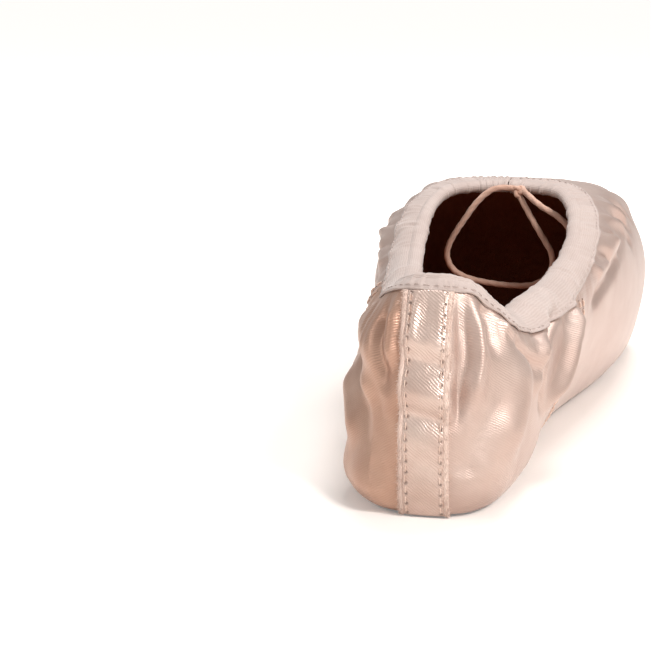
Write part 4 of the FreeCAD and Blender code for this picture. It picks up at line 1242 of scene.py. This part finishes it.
# %% Brass
brass = bpy.data.materials.new("brass")
brass.use_nodes = True
tree = brass.node_tree
shader = tree.nodes["Principled BSDF"]
clouds = use_group(tree, mottle, Place=place_on(tree, None), Size=2.0)
tint = mix_colour(tree, clouds["Cloud"], colour(168, 124, 62), colour(214, 176, 104))
tree.links.new(tint, shader.inputs["Base Color"])
tree.links.new(maths(tree, "MULTIPLY_ADD", clouds["Speck"], 0.3, 0.2), shader.inputs["Roughness"])
shader.inputs["Metallic"].default_value = 1.0
FINISHES["brass"] = brass

# %% Give every piece its finish
def wear_finish(piece, finish):
    """Puts one material on a piece's mesh, in place of whatever was there."""
    piece.data.materials.clear()
    piece.data.materials.append(FINISHES[finish])


WEARERS = {
    # The left quarter's darker satin is painted shade, and the vamp's slightly lighter satin is painted light.
    "satin": satin_pieces[1:2], "satin_shaded_left": satin_pieces[2:], "satin_vamp_lightened": satin_pieces[:1],
    "lining": lining_pieces, "toe_paste": [toe_box], "heel_tape": [heel_strip], "strip_edge": beads + fuzz,
    "thread": threads, "needle_hole_shade": needle_holes, "casing": [binding, binding_stitching],
    "cord": [drawstring, knot, loop, loose_end], "sole_leather": [outsole], "insole_card": [board],
    "shank_board": [shank], "felt": [filler, heel_pad], "sock_cloth": [sock],
}
for finish, pieces in WEARERS.items():
    for piece in pieces:
        wear_finish(piece, finish)
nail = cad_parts["shank_nail"]
for slot in nail.material_slots:
    slot.material = brass
print("finishes", sorted(FINISHES))

# %% [markdown]
# ## Floor, lights and sky
# The slipper stands on a white floor in a white room. One big soft light hangs over the right shoulder, a
# weaker one fills from the front, and the left is left to fall into shade, which is what shows up the
# folds. The left quarter's satin is also mixed darker, as painted shade. The floor glows for the camera
# so that it reads white, and the glow fades out towards the slipper, which paints a broad shadow round it.

# %% Floor
floor_mesh = bpy.data.meshes.new("floor")
wide = 14.0
corners = [(-wide, -wide, 0.0), (wide, -wide, 0.0), (wide, wide, 0.0), (-wide, wide, 0.0)]
floor_mesh.from_pydata(corners, [], [(0, 1, 2, 3)])
floor = bpy.data.objects.new("floor", floor_mesh)
floor.location = (0.0, 0.0, -0.0002)
bpy.context.scene.collection.objects.link(floor)
white = bpy.data.materials.new("white_floor_with_painted_shadow")
white.use_nodes = True
tree = white.node_tree
paper = tree.nodes["Principled BSDF"]
paper.inputs["Base Color"].default_value = (0.95, 0.90, 0.86, 1.0)
paper.inputs["Emission Color"].default_value = (1.0, 0.99, 0.98, 1.0)
seen = tree.nodes.new("ShaderNodeLightPath")
where = tree.nodes.new("ShaderNodeTexCoord")
away = tree.nodes.new("ShaderNodeVectorMath")
away.operation = "LENGTH"
tree.links.new(where.outputs["Object"], away.inputs[0])
# The floor's glow is zero under the slipper and full from 0.42 m away: a painted shadow round the slipper.
far = maths(tree, "MINIMUM", maths(tree, "MULTIPLY", away.outputs["Value"], 2.4), 1.0)
floor_glow_with_painted_shadow = maths(tree, "MULTIPLY", maths(tree, "MULTIPLY", seen.outputs["Is Camera Ray"], far), 0.62)
tree.links.new(floor_glow_with_painted_shadow, paper.inputs["Emission Strength"])
paper.inputs["Roughness"].default_value = 0.9
paper.inputs["Specular IOR Level"].default_value = 0.1
floor_mesh.materials.append(white)
print("floor", 2 * wide, "m wide")

# %% Lights and sky
def soft_light(name, place, aim, size, power, tint=(1.0, 1.0, 1.0)):
    """A square lamp at a place in metres, turned to face its aim."""
    lamp = bpy.data.lights.new(name, "AREA")
    lamp.size, lamp.energy, lamp.color = size, power, tint
    thing = bpy.data.objects.new(name, lamp)
    x, y, z = np.array(place) - np.array(aim)
    thing.location = place
    thing.rotation_euler = (math.atan2(math.hypot(x, y), z), 0.0, math.atan2(x, -y))
    bpy.context.scene.collection.objects.link(thing)
    return thing


soft_light("key", (0.55, -0.55, 0.60), (0.0, -0.03, 0.03), 0.24, 6.0, (1.0, 0.98, 0.96))
soft_light("top", (0.05, 0.30, 0.85), (0.0, 0.0, 0.0), 0.40, 5.6)
soft_light("back_rim", (-0.50, -0.40, 0.40), (0.0, -0.05, 0.03), 0.10, 0.6)
world = bpy.data.worlds.new("room")
world.use_nodes = True
world.node_tree.nodes["Background"].inputs["Color"].default_value = (1.0, 0.985, 0.97, 1.0)
world.node_tree.nodes["Background"].inputs["Strength"].default_value = 0.42
bpy.context.scene.world = world
bpy.context.scene.view_settings.view_transform = "Standard"
bpy.context.scene.view_settings.look = "None"
